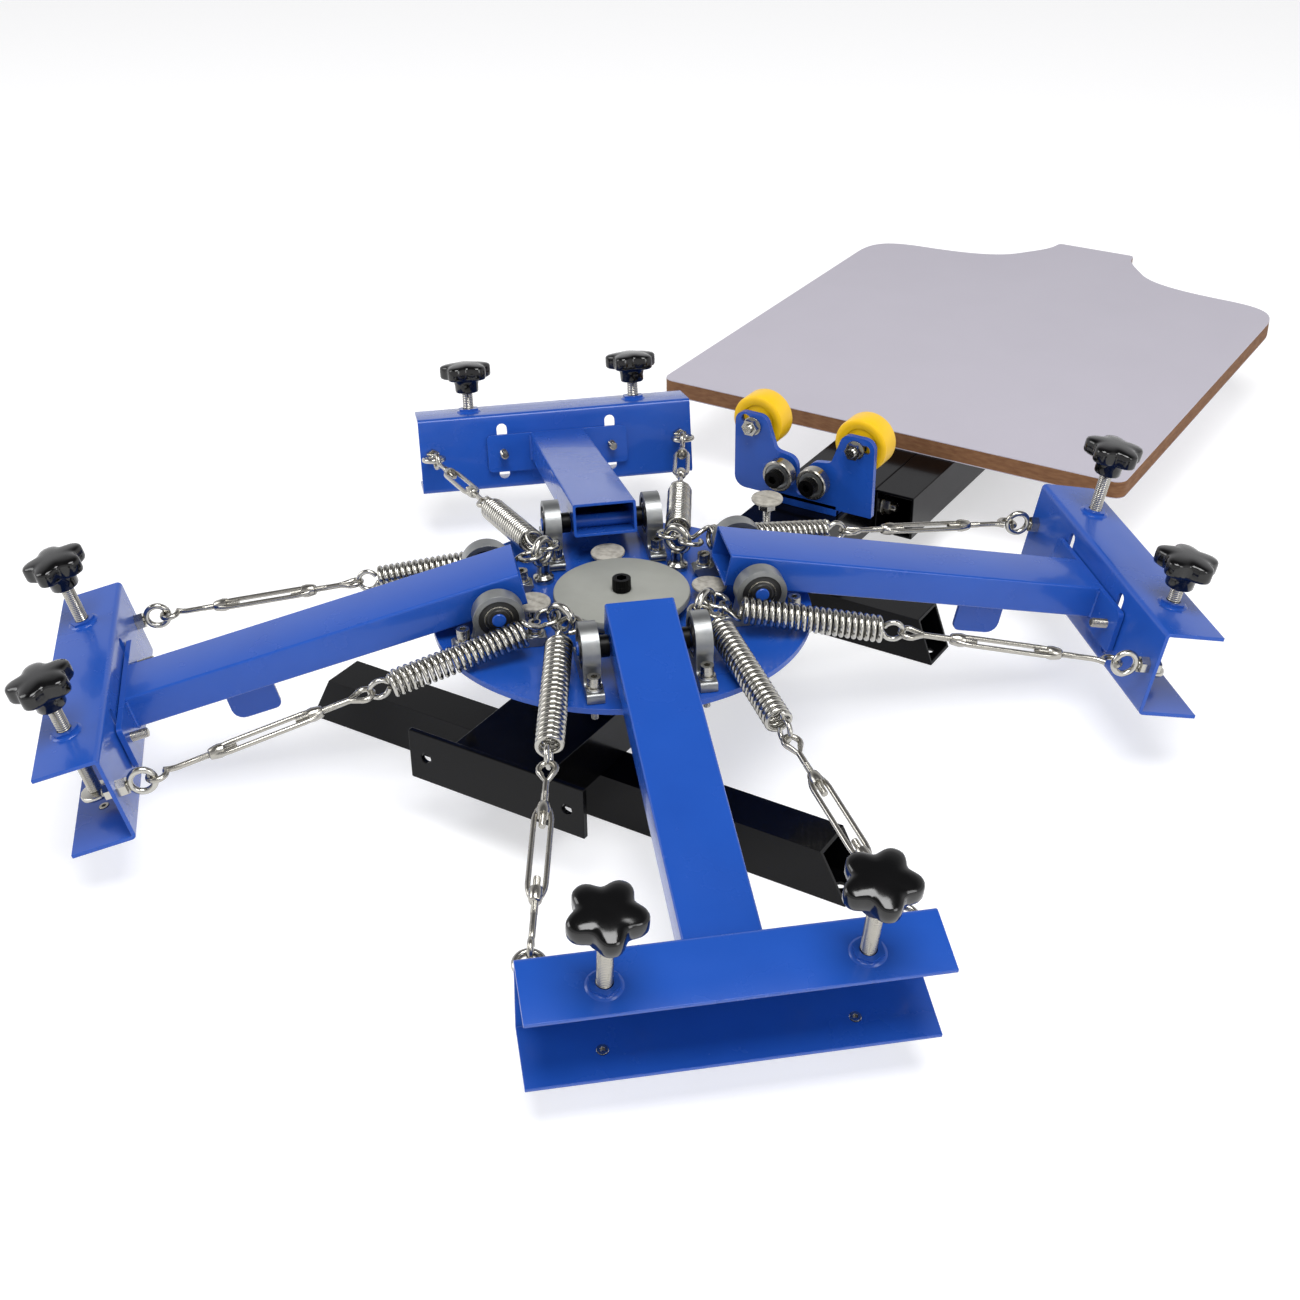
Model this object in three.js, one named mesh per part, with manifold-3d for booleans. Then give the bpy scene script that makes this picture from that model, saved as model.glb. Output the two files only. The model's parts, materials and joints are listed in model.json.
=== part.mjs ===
// Tabletop screen printing press: four arms on a turntable, each with a clamp that grips one
// screen printing frame, and a single pallet with a registration gate.
// Units are millimetres. +Z is up, +Y runs from the bench plate towards the pallet,
// and the origin is the middle of the underside of the front foot.
import * as THREE from 'three';
import { mergeVertices } from 'three/addons/utils/BufferGeometryUtils.js';
import Module from 'manifold-3d';

const wasm = await Module();
wasm.setup();

// ---------------------------------------------------------------- driving dimensions
const GAP = 0.3;              // left between pieces that touch
const WALL = 2.5;             // wall of the square tubes
const AXIS_Y = 72;            // the turntable's axis, forward of the front foot
const TURN = -48.2;           // where arm 1 stands, in degrees from +X
const ARM_COUNT = 4;
const ARM_DROOP = [14.5, 11.5, 13.0, 13.9];  // how far each arm hangs below level, degrees

// base
const FOOT_H = 38;
const FOOT_W = 34;
const BEAM_W = 75;
const BEAM_H = 39;
const BEAM_NEAR = -157.5;     // ends of the beam, from the turntable's axis
const BEAM_FAR = 700;
const FRONT_FOOT = { y: -AXIS_Y, top: 208, bottom: 228, bolt: 216 };
const REAR_FOOT = { y: 238, top: 136, bottom: 150, bolt: 140 };
const PALLET_ARM = { width: 36, near: 342, far: 740 };
const BEAM_Z = FOOT_H + GAP;
const BEAM_TOP = BEAM_Z + BEAM_H;
const PLATE = { halfWidth: 71.5, thickness: 4, bottom: 42, top: 81, hole: 4, holeX: 58 };

// pallet, a board with a collar tab at its far end
const PALLET = { halfWidth: 225, near: 426, shoulder: 892, length: 550, thickness: 16 };
const PALLET_Z = BEAM_TOP + GAP;

// turntable and hub
const DISC_R = 136;
const DISC_T = 4.5;
const DISC_TOP = 118.5;
const POST_R = 30;
const SPINDLE_R = 10;
const CAP = { radius: 49, thickness: 6, z: 127 };
const RING = { circle: 71, height: 24.5, radius: 9.3, wire: 2.7 };
const STOP = { circle: 64, top: 12.5, disc: 12.8, thickness: 3, stud: 3.4, hole: 3.9 };
const PRINT_STOP = { y: 218, top: 113.5 };

// arms
const PIVOT_R = 92.35;        // arm pivot, from the turntable's axis
const PIVOT_H = 24.57;        // arm pivot, above the turntable
const SHAFT_R = 4.9;
const SHAFT_HALF = 45.9;
const TUBE = { near: -21.5, far: 262.5, half: 23.7, top: 18.1, bottom: -6.8, wall: 2 };
const END_PLATE = { half: 62, top: 18, bottom: -15, thickness: 4 };
const TONGUE = { near: 168, far: 203, bottom: -38, thickness: 3.5 };
const BLOCK = { near: 32, far: 44, half: 33, base: 7, housing: 18, bore: 5.4 };

// frame clamps
const SHEET = 2.8;
const CLAMP = { u: 266.8, half: 120.9, top: 35.6, bottom: -30.6, depth: 44.5 };
const SLOT = { v: 48, half: 4.5, bottom: -22, top: 27 };
const SCREW = { u: 292, v: 74, hole: 5.5, collar: 9.6, collarHeight: 3, grub: 2 };
const EYE = { u: 250, v: 110, w: 4, radius: 8.3, wire: 2.4 };
const EYE_UPRIGHT = [false, true, false, true];   // which arms' eye bolts stand on edge

// clamp screws: how far each knob's middle stands above the clamp, sides a and b
const KNOB_OUT = [[61, 61], [33, 52], [34, 36], [50, 40]];
const KNOB = { radius: 19.8, lobe: 2.7, thickness: 15, hub: 10.4, hubLength: 11 };
// and how far the top of each pressure disc is below the clamp's upper face
const DISC_DOWN = [[9.5, 7], [52, 47], [34, 32], [40, 49]];
const STUD_R = 4.7;
const PRESS_DISC = { radius: 11, thickness: 3.5 };

// tension units, measured along each from the ring bolt
const SPRING = { from: 24, to: 126, radius: 9.6 };
const BUCKLE = { from: 178, to: 247, radius: 5.5 };
const LINK = { from: 17, stop: 14, radius: 2.4 };

// registration gate
const GATE = { y: 279, thickness: 5, half: 64, bottom: 83.5, top: 152.5, foot: 32, footDepth: 26 };
const ROLLER = { x: 47.4, z: 141.8, radius: 23, width: 20, bore: 4.6, axle: 4 };
const BEARING = { x: 15.6, z: 109, radius: 13.5, width: 10, bore: 5.4, axle: 5, head: 7.5 };

// ---------------------------------------------------------------- materials
const paint = (color, roughness, metalness) =>
  new THREE.MeshStandardMaterial({ color, roughness, metalness });
const blue = paint(0x1f46b4, 0.35, 0.2);
const black = paint(0x141414, 0.4, 0.2);
const castGrey = paint(0x9a9c9a, 0.5, 0.5);
const steel = paint(0xb9bcbf, 0.25, 1.0);
const plastic = paint(0x0b0b0c, 0.25, 0.0);
const cream = paint(0xe6e0d6, 0.6, 0.0);
const yellow = paint(0xf4cf10, 0.45, 0.0);
const board = paint(0xc9c4cf, 0.5, 0.0);

// ---------------------------------------------------------------- solid helpers
const rad = THREE.MathUtils.degToRad;

function solid(geometry) {
  const bare = geometry.clone();
  bare.deleteAttribute('normal');
  bare.deleteAttribute('uv');
  const merged = mergeVertices(bare, 1e-4);
  return new wasm.Manifold(new wasm.Mesh({
    numProp: 3,
    vertProperties: new Float32Array(merged.attributes.position.array),
    triVerts: new Uint32Array(merged.index.array),
  }));
}

function geometryOf(manifold) {
  const mesh = manifold.getMesh();
  const geometry = new THREE.BufferGeometry();
  geometry.setAttribute('position', new THREE.BufferAttribute(mesh.vertProperties, 3));
  geometry.setIndex(new THREE.BufferAttribute(mesh.triVerts, 1));
  geometry.computeVertexNormals();
  return geometry;
}

function joined(first, ...others) {
  return geometryOf(others.reduce((sum, next) => sum.add(solid(next)), solid(first)));
}

function cut(body, ...tools) {
  return geometryOf(tools.reduce((rest, tool) => rest.subtract(solid(tool)), solid(body)));
}

function box(x, y, z) {
  const geometry = new THREE.BoxGeometry(x[1] - x[0], y[1] - y[0], z[1] - z[0]);
  return geometry.translate((x[0] + x[1]) / 2, (y[0] + y[1]) / 2, (z[0] + z[1]) / 2);
}

// A cylinder from one point to another along its own axis, which is 'x', 'y' or 'z'.
function rod(axis, radius, from, to, centre = [0, 0], sides = 12) {
  const geometry = new THREE.CylinderGeometry(radius, radius, to - from, sides);
  geometry.translate(0, (from + to) / 2, 0);
  if (axis === 'z') geometry.rotateX(Math.PI / 2).translate(centre[0], centre[1], 0);
  if (axis === 'x') geometry.rotateZ(-Math.PI / 2).translate(0, centre[0], centre[1]);
  if (axis === 'y') geometry.translate(centre[0], 0, centre[1]);
  return geometry;
}

// A solid of revolution about +Z, from [radius, z] pairs that start and end on the axis
// or close on themselves.
function turned(profile, sides) {
  const points = profile.map(([r, z]) => new THREE.Vector2(r, z));
  return new THREE.LatheGeometry(points, sides).rotateX(Math.PI / 2);
}

function ring(outer, inner, from, to, sides) {
  return turned([[inner, from], [outer, from], [outer, to], [inner, to], [inner, from]], sides);
}

function extruded(shape, depth, curveSegments = 8) {
  return new THREE.ExtrudeGeometry(shape, { depth, bevelEnabled: false, curveSegments });
}

function rectangle(x, y) {
  return new THREE.Shape([
    new THREE.Vector2(x[0], y[0]), new THREE.Vector2(x[1], y[0]),
    new THREE.Vector2(x[1], y[1]), new THREE.Vector2(x[0], y[1]),
  ]);
}

// A round hole in a shape, as a polygon.
function circlePath(radius, x = 0, y = 0, sides = 12) {
  const points = [];
  for (let i = 0; i < sides; i += 1) {
    const angle = -2 * Math.PI * i / sides;
    points.push(new THREE.Vector2(x + radius * Math.cos(angle), y + radius * Math.sin(angle)));
  }
  return new THREE.Path(points);
}

function piece(parent, name, geometry, material) {
  const mesh = new THREE.Mesh(geometry, material);
  mesh.name = name;
  parent.add(mesh);
  return mesh;
}

// A rectangular tube along Y: its outside in X and Z, and its two ends.
function tubeAlongY(x, z, y) {
  const shape = rectangle(x, z);
  shape.holes.push(rectangle([x[0] + WALL, x[1] - WALL], [z[0] + WALL, z[1] - WALL]));
  return extruded(shape, y[1] - y[0]).rotateX(Math.PI / 2).translate(0, y[1], 0);
}

// ---------------------------------------------------------------- base
function footGeometry({ y, top, bottom, bolt }) {
  const outline = new THREE.Shape([
    new THREE.Vector2(-bottom, 0), new THREE.Vector2(bottom, 0),
    new THREE.Vector2(top, FOOT_H), new THREE.Vector2(-top, FOOT_H),
  ]);
  const body = extruded(outline, FOOT_W).rotateX(Math.PI / 2).translate(0, y + FOOT_W / 2, 0);
  const inside = FOOT_W / 2 - WALL;
  const bore = box([-bottom - 1, bottom + 1], [y - inside, y + inside], [WALL, FOOT_H - WALL]);
  const holes = [-bolt, bolt].map((x) => rod('z', 3.5, -1, WALL + 1, [x, y]));
  return cut(body, bore, ...holes);
}

function benchPlateGeometry() {
  const shape = rectangle([-PLATE.halfWidth, PLATE.halfWidth], [PLATE.bottom, PLATE.top]);
  const middle = (PLATE.bottom + PLATE.top) / 2;
  for (const x of [-PLATE.holeX, PLATE.holeX]) shape.holes.push(circlePath(PLATE.hole, x, middle));
  return extruded(shape, PLATE.thickness).rotateX(Math.PI / 2).translate(0, BEAM_NEAR - GAP, 0);
}

function palletGeometry() {
  const { halfWidth, near, shoulder, length, thickness } = PALLET;
  const far = near + length;
  const shape = new THREE.Shape();
  shape.moveTo(halfWidth - 10, near);
  shape.quadraticCurveTo(halfWidth, near, halfWidth, near + 10);
  shape.lineTo(halfWidth, shoulder - 50);
  shape.bezierCurveTo(halfWidth, shoulder - 10, 205, shoulder - 2, 165, shoulder);
  shape.bezierCurveTo(120, shoulder + 3, 85, shoulder + 10, 68, shoulder + 34);
  shape.bezierCurveTo(56, shoulder + 50, 44, far - 22, 43, far - 4);
  shape.quadraticCurveTo(42.5, far, 38, far);
  shape.lineTo(-38, far);
  shape.quadraticCurveTo(-42.5, far, -43, far - 4);
  shape.bezierCurveTo(-44, far - 22, -56, shoulder + 50, -68, shoulder + 34);
  shape.bezierCurveTo(-85, shoulder + 10, -120, shoulder + 3, -165, shoulder);
  shape.bezierCurveTo(-205, shoulder - 2, -halfWidth, shoulder - 10, -halfWidth, shoulder - 50);
  shape.lineTo(-halfWidth, near + 10);
  shape.quadraticCurveTo(-halfWidth, near, -halfWidth + 10, near);
  return extruded(shape, thickness, 5).translate(0, 0, PALLET_Z);
}

function addBase(press) {
  piece(press, 'main_beam', tubeAlongY([-BEAM_W / 2, BEAM_W / 2], [BEAM_Z, BEAM_TOP],
    [BEAM_NEAR, BEAM_FAR]), black);
  piece(press, 'bench_plate', benchPlateGeometry(), black);
  piece(press, 'front_foot', footGeometry(FRONT_FOOT), black);
  piece(press, 'rear_foot', footGeometry(REAR_FOOT), black);
  const side = BEAM_W / 2 + GAP;
  piece(press, 'pallet_arm', tubeAlongY([side, side + PALLET_ARM.width], [BEAM_Z, BEAM_TOP],
    [PALLET_ARM.near, PALLET_ARM.far]), black);
  piece(press, 'pallet', palletGeometry(), board);

  const discBottom = DISC_TOP - DISC_T;
  piece(press, 'hub_post', turned([
    [0, BEAM_TOP + GAP], [36, BEAM_TOP + GAP], [36, BEAM_TOP + 7], [POST_R, BEAM_TOP + 7],
    [POST_R, discBottom - GAP], [SPINDLE_R, discBottom - GAP],
    [SPINDLE_R, CAP.z - GAP], [0, CAP.z - GAP],
  ], 20), castGrey);
  const capTop = CAP.z + CAP.thickness;
  piece(press, 'hub_cap', turned([
    [0, CAP.z], [12, CAP.z], [12, DISC_TOP + GAP], [38, DISC_TOP + GAP], [38, CAP.z],
    [CAP.radius, CAP.z], [CAP.radius, capTop - 1], [CAP.radius - 1, capTop], [0, capTop],
  ], 28), castGrey);
  piece(press, 'hub_bolt', cut(rod('z', 6.8, capTop + GAP, capTop + 10),
    rod('z', 3.4, capTop + 5, capTop + 11, [0, 0], 6)), plastic);
}

// A swivel-headed stop screw that points up, with its disc's top at the given height.
function stopScrewGeometry(top, stud) {
  const under = top - STOP.thickness;
  return turned([
    [0, stud], [STOP.stud, stud], [STOP.stud, under - 3], [5.5, under - 3], [5.5, under],
    [STOP.disc, under], [STOP.disc, top], [0, top],
  ], 14);
}

// ---------------------------------------------------------------- registration gate
function gatePlateGeometry() {
  const { half, bottom, top, y, thickness, foot, footDepth } = GATE;
  const shape = new THREE.Shape();
  shape.moveTo(5, bottom + 6);
  shape.lineTo(5, bottom + 28);
  shape.quadraticCurveTo(8, BEARING.z + 13, 17, BEARING.z + 14.5);
  shape.quadraticCurveTo(25, BEARING.z + 15, 27, BEARING.z + 22);
  shape.lineTo(33, top - 8);
  shape.quadraticCurveTo(36, top, 44, top);
  shape.lineTo(half - 8, top);
  shape.quadraticCurveTo(half, top, half, top - 8);
  shape.lineTo(half, bottom);
  shape.lineTo(-half + 12, bottom);
  shape.quadraticCurveTo(-half, bottom, -half, bottom + 10);
  shape.lineTo(-half, top - 8);
  shape.quadraticCurveTo(-half, top, -half + 8, top);
  shape.lineTo(-44, top);
  shape.quadraticCurveTo(-36, top, -33, top - 8);
  shape.lineTo(-27, BEARING.z + 22);
  shape.quadraticCurveTo(-25, BEARING.z + 15, -17, BEARING.z + 14.5);
  shape.quadraticCurveTo(-8, BEARING.z + 13, -5, bottom + 28);
  shape.lineTo(-5, bottom + 6);
  const plate = extruded(shape, thickness, 3).rotateX(Math.PI / 2).translate(0, y + thickness, 0);
  const footBottom = BEAM_TOP + GAP;
  const extras = [
    box([-foot, foot], [y, y + thickness], [footBottom, bottom + 3]),
    box([-foot, foot], [y + 1, y + footDepth], [footBottom, footBottom + 4]),
  ];
  const back = y + thickness;
  for (const side of [-1, 1]) {
    const rollerAt = [side * ROLLER.x, ROLLER.z];
    const rollerEnd = back + 3 + ROLLER.width + GAP;
    extras.push(rod('y', ROLLER.axle, y - 5, rollerEnd + 4, rollerAt));
    extras.push(rod('y', 7, y - 6, y + 1, rollerAt, 6));
    extras.push(rod('y', 7, back - 1, back + 3 - GAP, rollerAt));
    extras.push(rod('y', 7, rollerEnd, rollerEnd + 5, rollerAt, 6));
    const bearingAt = [side * BEARING.x, BEARING.z];
    const bearingFront = y - 6 - BEARING.width;
    extras.push(rod('y', BEARING.axle, bearingFront - 2, back, bearingAt));
    extras.push(rod('y', 7, y - 6 + GAP, y + 1, bearingAt));
    extras.push(rod('y', BEARING.head, bearingFront - 8, bearingFront - GAP, bearingAt));
  }
  return joined(plate, ...extras);
}

function addGate(press) {
  piece(press, 'gate_plate', gatePlateGeometry(), blue);
  [-1, 1].forEach((side, i) => {
    const roller = ring(ROLLER.radius, ROLLER.bore, 0, ROLLER.width, 28).rotateX(-Math.PI / 2);
    roller.translate(side * ROLLER.x, GATE.y + GATE.thickness + 3, ROLLER.z);
    piece(press, `gate_roller_${i + 1}`, roller, yellow);
    const bearing = ring(BEARING.radius, BEARING.bore, 0, BEARING.width, 20).rotateX(-Math.PI / 2);
    bearing.translate(side * BEARING.x, GATE.y - 6 - BEARING.width, BEARING.z);
    piece(press, `gate_bearing_${i + 1}`, bearing, steel);
  });
  const stop = stopScrewGeometry(PRINT_STOP.top, BEAM_TOP + GAP);
  piece(press, 'print_stop', stop.translate(0, PRINT_STOP.y, 0), cream);
}

// ---------------------------------------------------------------- turntable
// The disc with its four ring bolts, each standing between two arms.
function turntableGeometry() {
  const shape = new THREE.Shape().absarc(0, 0, DISC_R, 0, 2 * Math.PI, false);
  shape.holes.push(circlePath(SPINDLE_R + 0.6, 0, 0, 24));
  for (let i = 0; i < ARM_COUNT; i += 1) {
    const angle = i * Math.PI / 2;
    shape.holes.push(circlePath(STOP.hole, STOP.circle * Math.cos(angle),
      STOP.circle * Math.sin(angle)));
  }
  const disc = extruded(shape, DISC_T, 22).translate(0, 0, DISC_TOP - DISC_T);
  const bolts = [];
  const ringZ = DISC_TOP + RING.height;
  for (let i = 0; i < ARM_COUNT; i += 1) {
    const angle = (i + 0.5) * Math.PI / 2;
    const at = [RING.circle * Math.cos(angle), RING.circle * Math.sin(angle)];
    bolts.push(rod('z', 5.5, DISC_TOP - 1, DISC_TOP + 5, at, 8));
    bolts.push(rod('z', 3.2, DISC_TOP, ringZ - RING.radius, at, 8));
    const loop = new THREE.TorusGeometry(RING.radius, RING.wire, 5, 10);
    bolts.push(loop.rotateX(Math.PI / 2).rotateZ(angle + Math.PI / 2).translate(...at, ringZ));
  }
  return joined(disc, ...bolts);
}

// Pillow block on the arm's pivot line: X runs outwards, Z up from the pivot.
function pillowBlockGeometry(side) {
  const bottom = -PIVOT_H + GAP;
  const shoulder = bottom + BLOCK.base;
  const shape = new THREE.Shape();
  shape.moveTo(-BLOCK.half, bottom);
  shape.lineTo(BLOCK.half, bottom);
  shape.lineTo(BLOCK.half, shoulder - 1.5);
  shape.lineTo(BLOCK.half - 1.5, shoulder);
  shape.lineTo(BLOCK.housing + 1, shoulder);
  shape.absarc(0, 0, BLOCK.housing, 0, Math.PI, false);
  shape.lineTo(-BLOCK.housing - 1, shoulder);
  shape.lineTo(-BLOCK.half + 1.5, shoulder);
  shape.lineTo(-BLOCK.half, shoulder - 1.5);
  shape.holes.push(circlePath(BLOCK.bore));
  const body = extruded(shape, BLOCK.far - BLOCK.near, 6).rotateX(Math.PI / 2);
  return body.translate(0, side > 0 ? BLOCK.far : -BLOCK.near, 0);
}

// ---------------------------------------------------------------- arms
// In an arm's own frame X runs outwards from the pivot, Y across and Z up.
function armGeometry() {
  const { near, far, half, top, bottom, wall } = TUBE;
  const outer = box([near, far], [-half, half], [bottom, top]);
  const inner = box([near - 1, far - 3], [-half + wall, half - wall], [bottom + wall, top - wall]);
  const plate = box([far - 0.5, far + END_PLATE.thickness - 0.5], [-END_PLATE.half, END_PLATE.half],
    [END_PLATE.bottom, END_PLATE.top]);
  const tongueHalf = TONGUE.thickness / 2;
  const tongue = box([TONGUE.near, TONGUE.far], [-tongueHalf, tongueHalf],
    [TONGUE.bottom, bottom + 1]);
  const shaft = rod('y', SHAFT_R, -SHAFT_HALF, SHAFT_HALF);
  return joined(cut(outer, inner), plate, tongue, shaft);
}

function frameClampGeometry(eyeUpright) {
  const { u, half, top, bottom, depth } = CLAMP;
  const bend = 2.5;
  const outline = new THREE.Shape();
  outline.moveTo(u + depth, bottom);
  outline.lineTo(u + depth, bottom + SHEET);
  outline.lineTo(u + SHEET, bottom + SHEET);
  outline.lineTo(u + SHEET, top - SHEET);
  outline.lineTo(u + depth, top - SHEET);
  outline.lineTo(u + depth, top);
  outline.lineTo(u + bend, top);
  outline.lineTo(u, top - bend);
  outline.lineTo(u, bottom + bend);
  outline.lineTo(u + bend, bottom);
  const channel = extruded(outline, 2 * half).rotateX(Math.PI / 2).translate(0, half, 0);
  const collars = [];
  const cuts = [];
  for (const side of [-1, 1]) {
    const at = [SCREW.u, side * SCREW.v];
    collars.push(rod('z', SCREW.collar, top - 1, top + SCREW.collarHeight, at, 6));
    cuts.push(rod('z', SCREW.hole, top - SHEET - 1, top + SCREW.collarHeight + 1, at));
    cuts.push(rod('z', SCREW.grub, bottom - 1, bottom + SHEET + 1, at, 8));
    const slotMiddle = side * SLOT.v;
    cuts.push(box([u - 1, u + SHEET + 1], [slotMiddle - SLOT.half, slotMiddle + SLOT.half],
      [SLOT.bottom, SLOT.top]));
    const eyeV = side * EYE.v;
    collars.push(rod('x', 3, EYE.u + EYE.radius, u + SHEET + 6, [eyeV, EYE.w], 8));
    collars.push(rod('x', 6, u - 4, u + 1, [eyeV, EYE.w], 6));
    const eye = new THREE.TorusGeometry(EYE.radius, EYE.wire, 5, 10);
    if (eyeUpright) eye.rotateX(Math.PI / 2);
    collars.push(eye.translate(EYE.u, eyeV, EYE.w));
  }
  const whole = collars.reduce((sum, next) => sum.add(solid(next)), solid(channel));
  return geometryOf(cuts.reduce((rest, tool) => rest.subtract(solid(tool)), whole));
}

// Star knob with its threaded stud. Z is zero at the top of the pressure disc, and the middle
// of the knob is at the given reach above it.
function clampScrewGeometry(reach) {
  const lobes = 5;
  const steps = 30;
  const outline = [];
  for (let i = 0; i < steps; i += 1) {
    const angle = 2 * Math.PI * i / steps;
    const rim = KNOB.radius + KNOB.lobe * Math.cos(lobes * angle);
    outline.push(new THREE.Vector2(rim * Math.cos(angle), rim * Math.sin(angle)));
  }
  const underside = reach - KNOB.thickness / 2;
  const star = extruded(new THREE.Shape(outline), KNOB.thickness).translate(0, 0, underside);
  const hub = rod('z', KNOB.hub, underside - KNOB.hubLength, underside + 1);
  const stud = rod('z', STUD_R, GAP, underside - KNOB.hubLength + 1);
  return joined(star, hub, stud);
}

// Spring and turnbuckle as their outer shape, along Z from the ring bolt to the eye bolt.
function tensionUnitGeometry(length) {
  const end = length - LINK.stop;
  return turned([
    [0, LINK.from], [LINK.radius, LINK.from], [LINK.radius, SPRING.from - 1],
    [SPRING.radius, SPRING.from], [SPRING.radius, SPRING.to], [LINK.radius, SPRING.to + 1],
    [LINK.radius, BUCKLE.from], [BUCKLE.radius, BUCKLE.from + 1],
    [BUCKLE.radius, BUCKLE.to - 1], [LINK.radius, BUCKLE.to], [LINK.radius, end], [0, end],
  ], 8);
}

function addArm(turntable, index) {
  const number = index + 1;
  const droop = rad(ARM_DROOP[index]);
  const azimuth = new THREE.Group();
  azimuth.rotation.z = index * Math.PI / 2;
  turntable.add(azimuth);

  const pivotZ = DISC_TOP + PIVOT_H;
  const stopTop = DISC_TOP + STOP.top;
  const stop = stopScrewGeometry(stopTop, DISC_TOP - DISC_T - 8).translate(STOP.circle, 0, 0);
  piece(azimuth, `stop_screw_${number}`, stop, cream);

  const pivot = new THREE.Group();
  pivot.position.set(PIVOT_R, 0, pivotZ);
  azimuth.add(pivot);
  const arm = new THREE.Group();
  arm.rotation.y = droop;
  pivot.add(arm);
  piece(arm, `arm_${number}`, armGeometry(), blue);
  piece(arm, `frame_clamp_${number}`, frameClampGeometry(EYE_UPRIGHT[index]), blue);

  for (const [letter, side] of [['a', -1], ['b', 1]]) {
    piece(pivot, `pillow_block_${number}${letter}`, pillowBlockGeometry(side), castGrey);

    const sideIndex = side > 0 ? 1 : 0;
    const discDown = DISC_DOWN[index][sideIndex];
    const screwGeometry = clampScrewGeometry(KNOB_OUT[index][sideIndex] + discDown);
    const screw = piece(arm, `clamp_screw_${number}${letter}`, screwGeometry, plastic);
    screw.position.set(SCREW.u, side * SCREW.v, CLAMP.top - discDown);
    const disc = rod('z', PRESS_DISC.radius, -PRESS_DISC.thickness, 0, [0, 0], 20);
    const foot = piece(arm, `pressure_disc_${number}${letter}`, disc, steel);
    foot.position.copy(screw.position);

    // from the ring bolt beside the arm to the eye bolt on its clamp
    const ringOut = RING.circle * Math.SQRT1_2;
    const ringAt = new THREE.Vector3(ringOut - PIVOT_R, side * ringOut, RING.height - PIVOT_H);
    const eyeAt = new THREE.Vector3(EYE.u, side * EYE.v, EYE.w)
      .applyAxisAngle(new THREE.Vector3(0, 1, 0), droop);
    const along = eyeAt.clone().sub(ringAt);
    const unit = piece(pivot, `tension_unit_${number}${letter}`,
      tensionUnitGeometry(along.length()), steel);
    unit.position.copy(ringAt);
    unit.quaternion.setFromUnitVectors(new THREE.Vector3(0, 0, 1), along.normalize());
  }
}

// ---------------------------------------------------------------- the press
const press = new THREE.Group();
const axisGroup = new THREE.Group();
axisGroup.position.y = AXIS_Y;
press.add(axisGroup);
addBase(axisGroup);
addGate(axisGroup);

const turntable = new THREE.Group();
turntable.rotation.z = rad(TURN);
axisGroup.add(turntable);
piece(turntable, 'turntable', turntableGeometry(), blue);
for (let index = 0; index < ARM_COUNT; index += 1) addArm(turntable, index);

export default press;
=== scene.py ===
import json
from math import atan2, cos, pi, radians, sin, sqrt

import bmesh
import bpy
from mathutils import Matrix, Vector
from mathutils.geometry import interpolate_bezier, tessellate_polygon


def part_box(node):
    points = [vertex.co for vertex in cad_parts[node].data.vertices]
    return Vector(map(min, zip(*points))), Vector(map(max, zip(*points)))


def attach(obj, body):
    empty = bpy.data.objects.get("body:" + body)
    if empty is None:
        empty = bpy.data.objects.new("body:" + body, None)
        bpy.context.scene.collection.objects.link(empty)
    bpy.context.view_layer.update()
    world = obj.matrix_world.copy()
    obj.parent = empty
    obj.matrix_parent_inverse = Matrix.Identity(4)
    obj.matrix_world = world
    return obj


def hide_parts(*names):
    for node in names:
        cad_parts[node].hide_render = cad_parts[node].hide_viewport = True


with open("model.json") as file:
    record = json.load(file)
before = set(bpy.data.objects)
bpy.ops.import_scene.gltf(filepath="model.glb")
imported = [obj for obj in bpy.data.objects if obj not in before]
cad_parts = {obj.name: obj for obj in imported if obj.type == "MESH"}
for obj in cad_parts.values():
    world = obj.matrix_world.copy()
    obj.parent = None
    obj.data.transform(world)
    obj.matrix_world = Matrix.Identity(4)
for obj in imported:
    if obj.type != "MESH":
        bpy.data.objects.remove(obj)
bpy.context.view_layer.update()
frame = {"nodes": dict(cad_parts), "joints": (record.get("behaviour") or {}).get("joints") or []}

# A tabletop screen printing press: four sprung arms on a turntable, one pallet and a
# registration gate. Sizes are in millimetres and turn to metres as each piece is made.
MM = 0.001

# ---------------------------------------------------------------- camera and studio
# The press stands on a pale, lit table, seen from the right of the bench plate and from above,
# under large soft lights on the viewer's side. The room is pale low down and dark overhead.
VIEW_TARGET = Vector((1.0, 90.4, 87.5)) * MM
VIEW_AZIMUTH = radians(32.39)
VIEW_ELEVATION = radians(30.38)
VIEW_ROLL = radians(-0.91)
VIEW_DISTANCE = 1.3854
LENS_MM = 52.31
SHIFT = (0.0097, -0.0127)


def add_camera():
    back = Vector((sin(VIEW_AZIMUTH) * cos(VIEW_ELEVATION),
                   -cos(VIEW_AZIMUTH) * cos(VIEW_ELEVATION), sin(VIEW_ELEVATION)))
    level = Vector((0, 0, 1)).cross(back).normalized()
    upright = back.cross(level)
    right = level * cos(VIEW_ROLL) + upright * sin(VIEW_ROLL)
    up = back.cross(right)
    camera = bpy.data.objects.new("camera", bpy.data.cameras.new("camera"))
    camera.data.lens = LENS_MM
    camera.data.sensor_width = 36
    camera.data.shift_x, camera.data.shift_y = SHIFT
    camera.data.clip_end = 50
    turn = Matrix((right, up, back)).transposed().to_4x4()
    camera.matrix_world = Matrix.Translation(VIEW_TARGET + back * VIEW_DISTANCE) @ turn
    bpy.context.collection.objects.link(camera)
    bpy.context.scene.camera = camera


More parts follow.
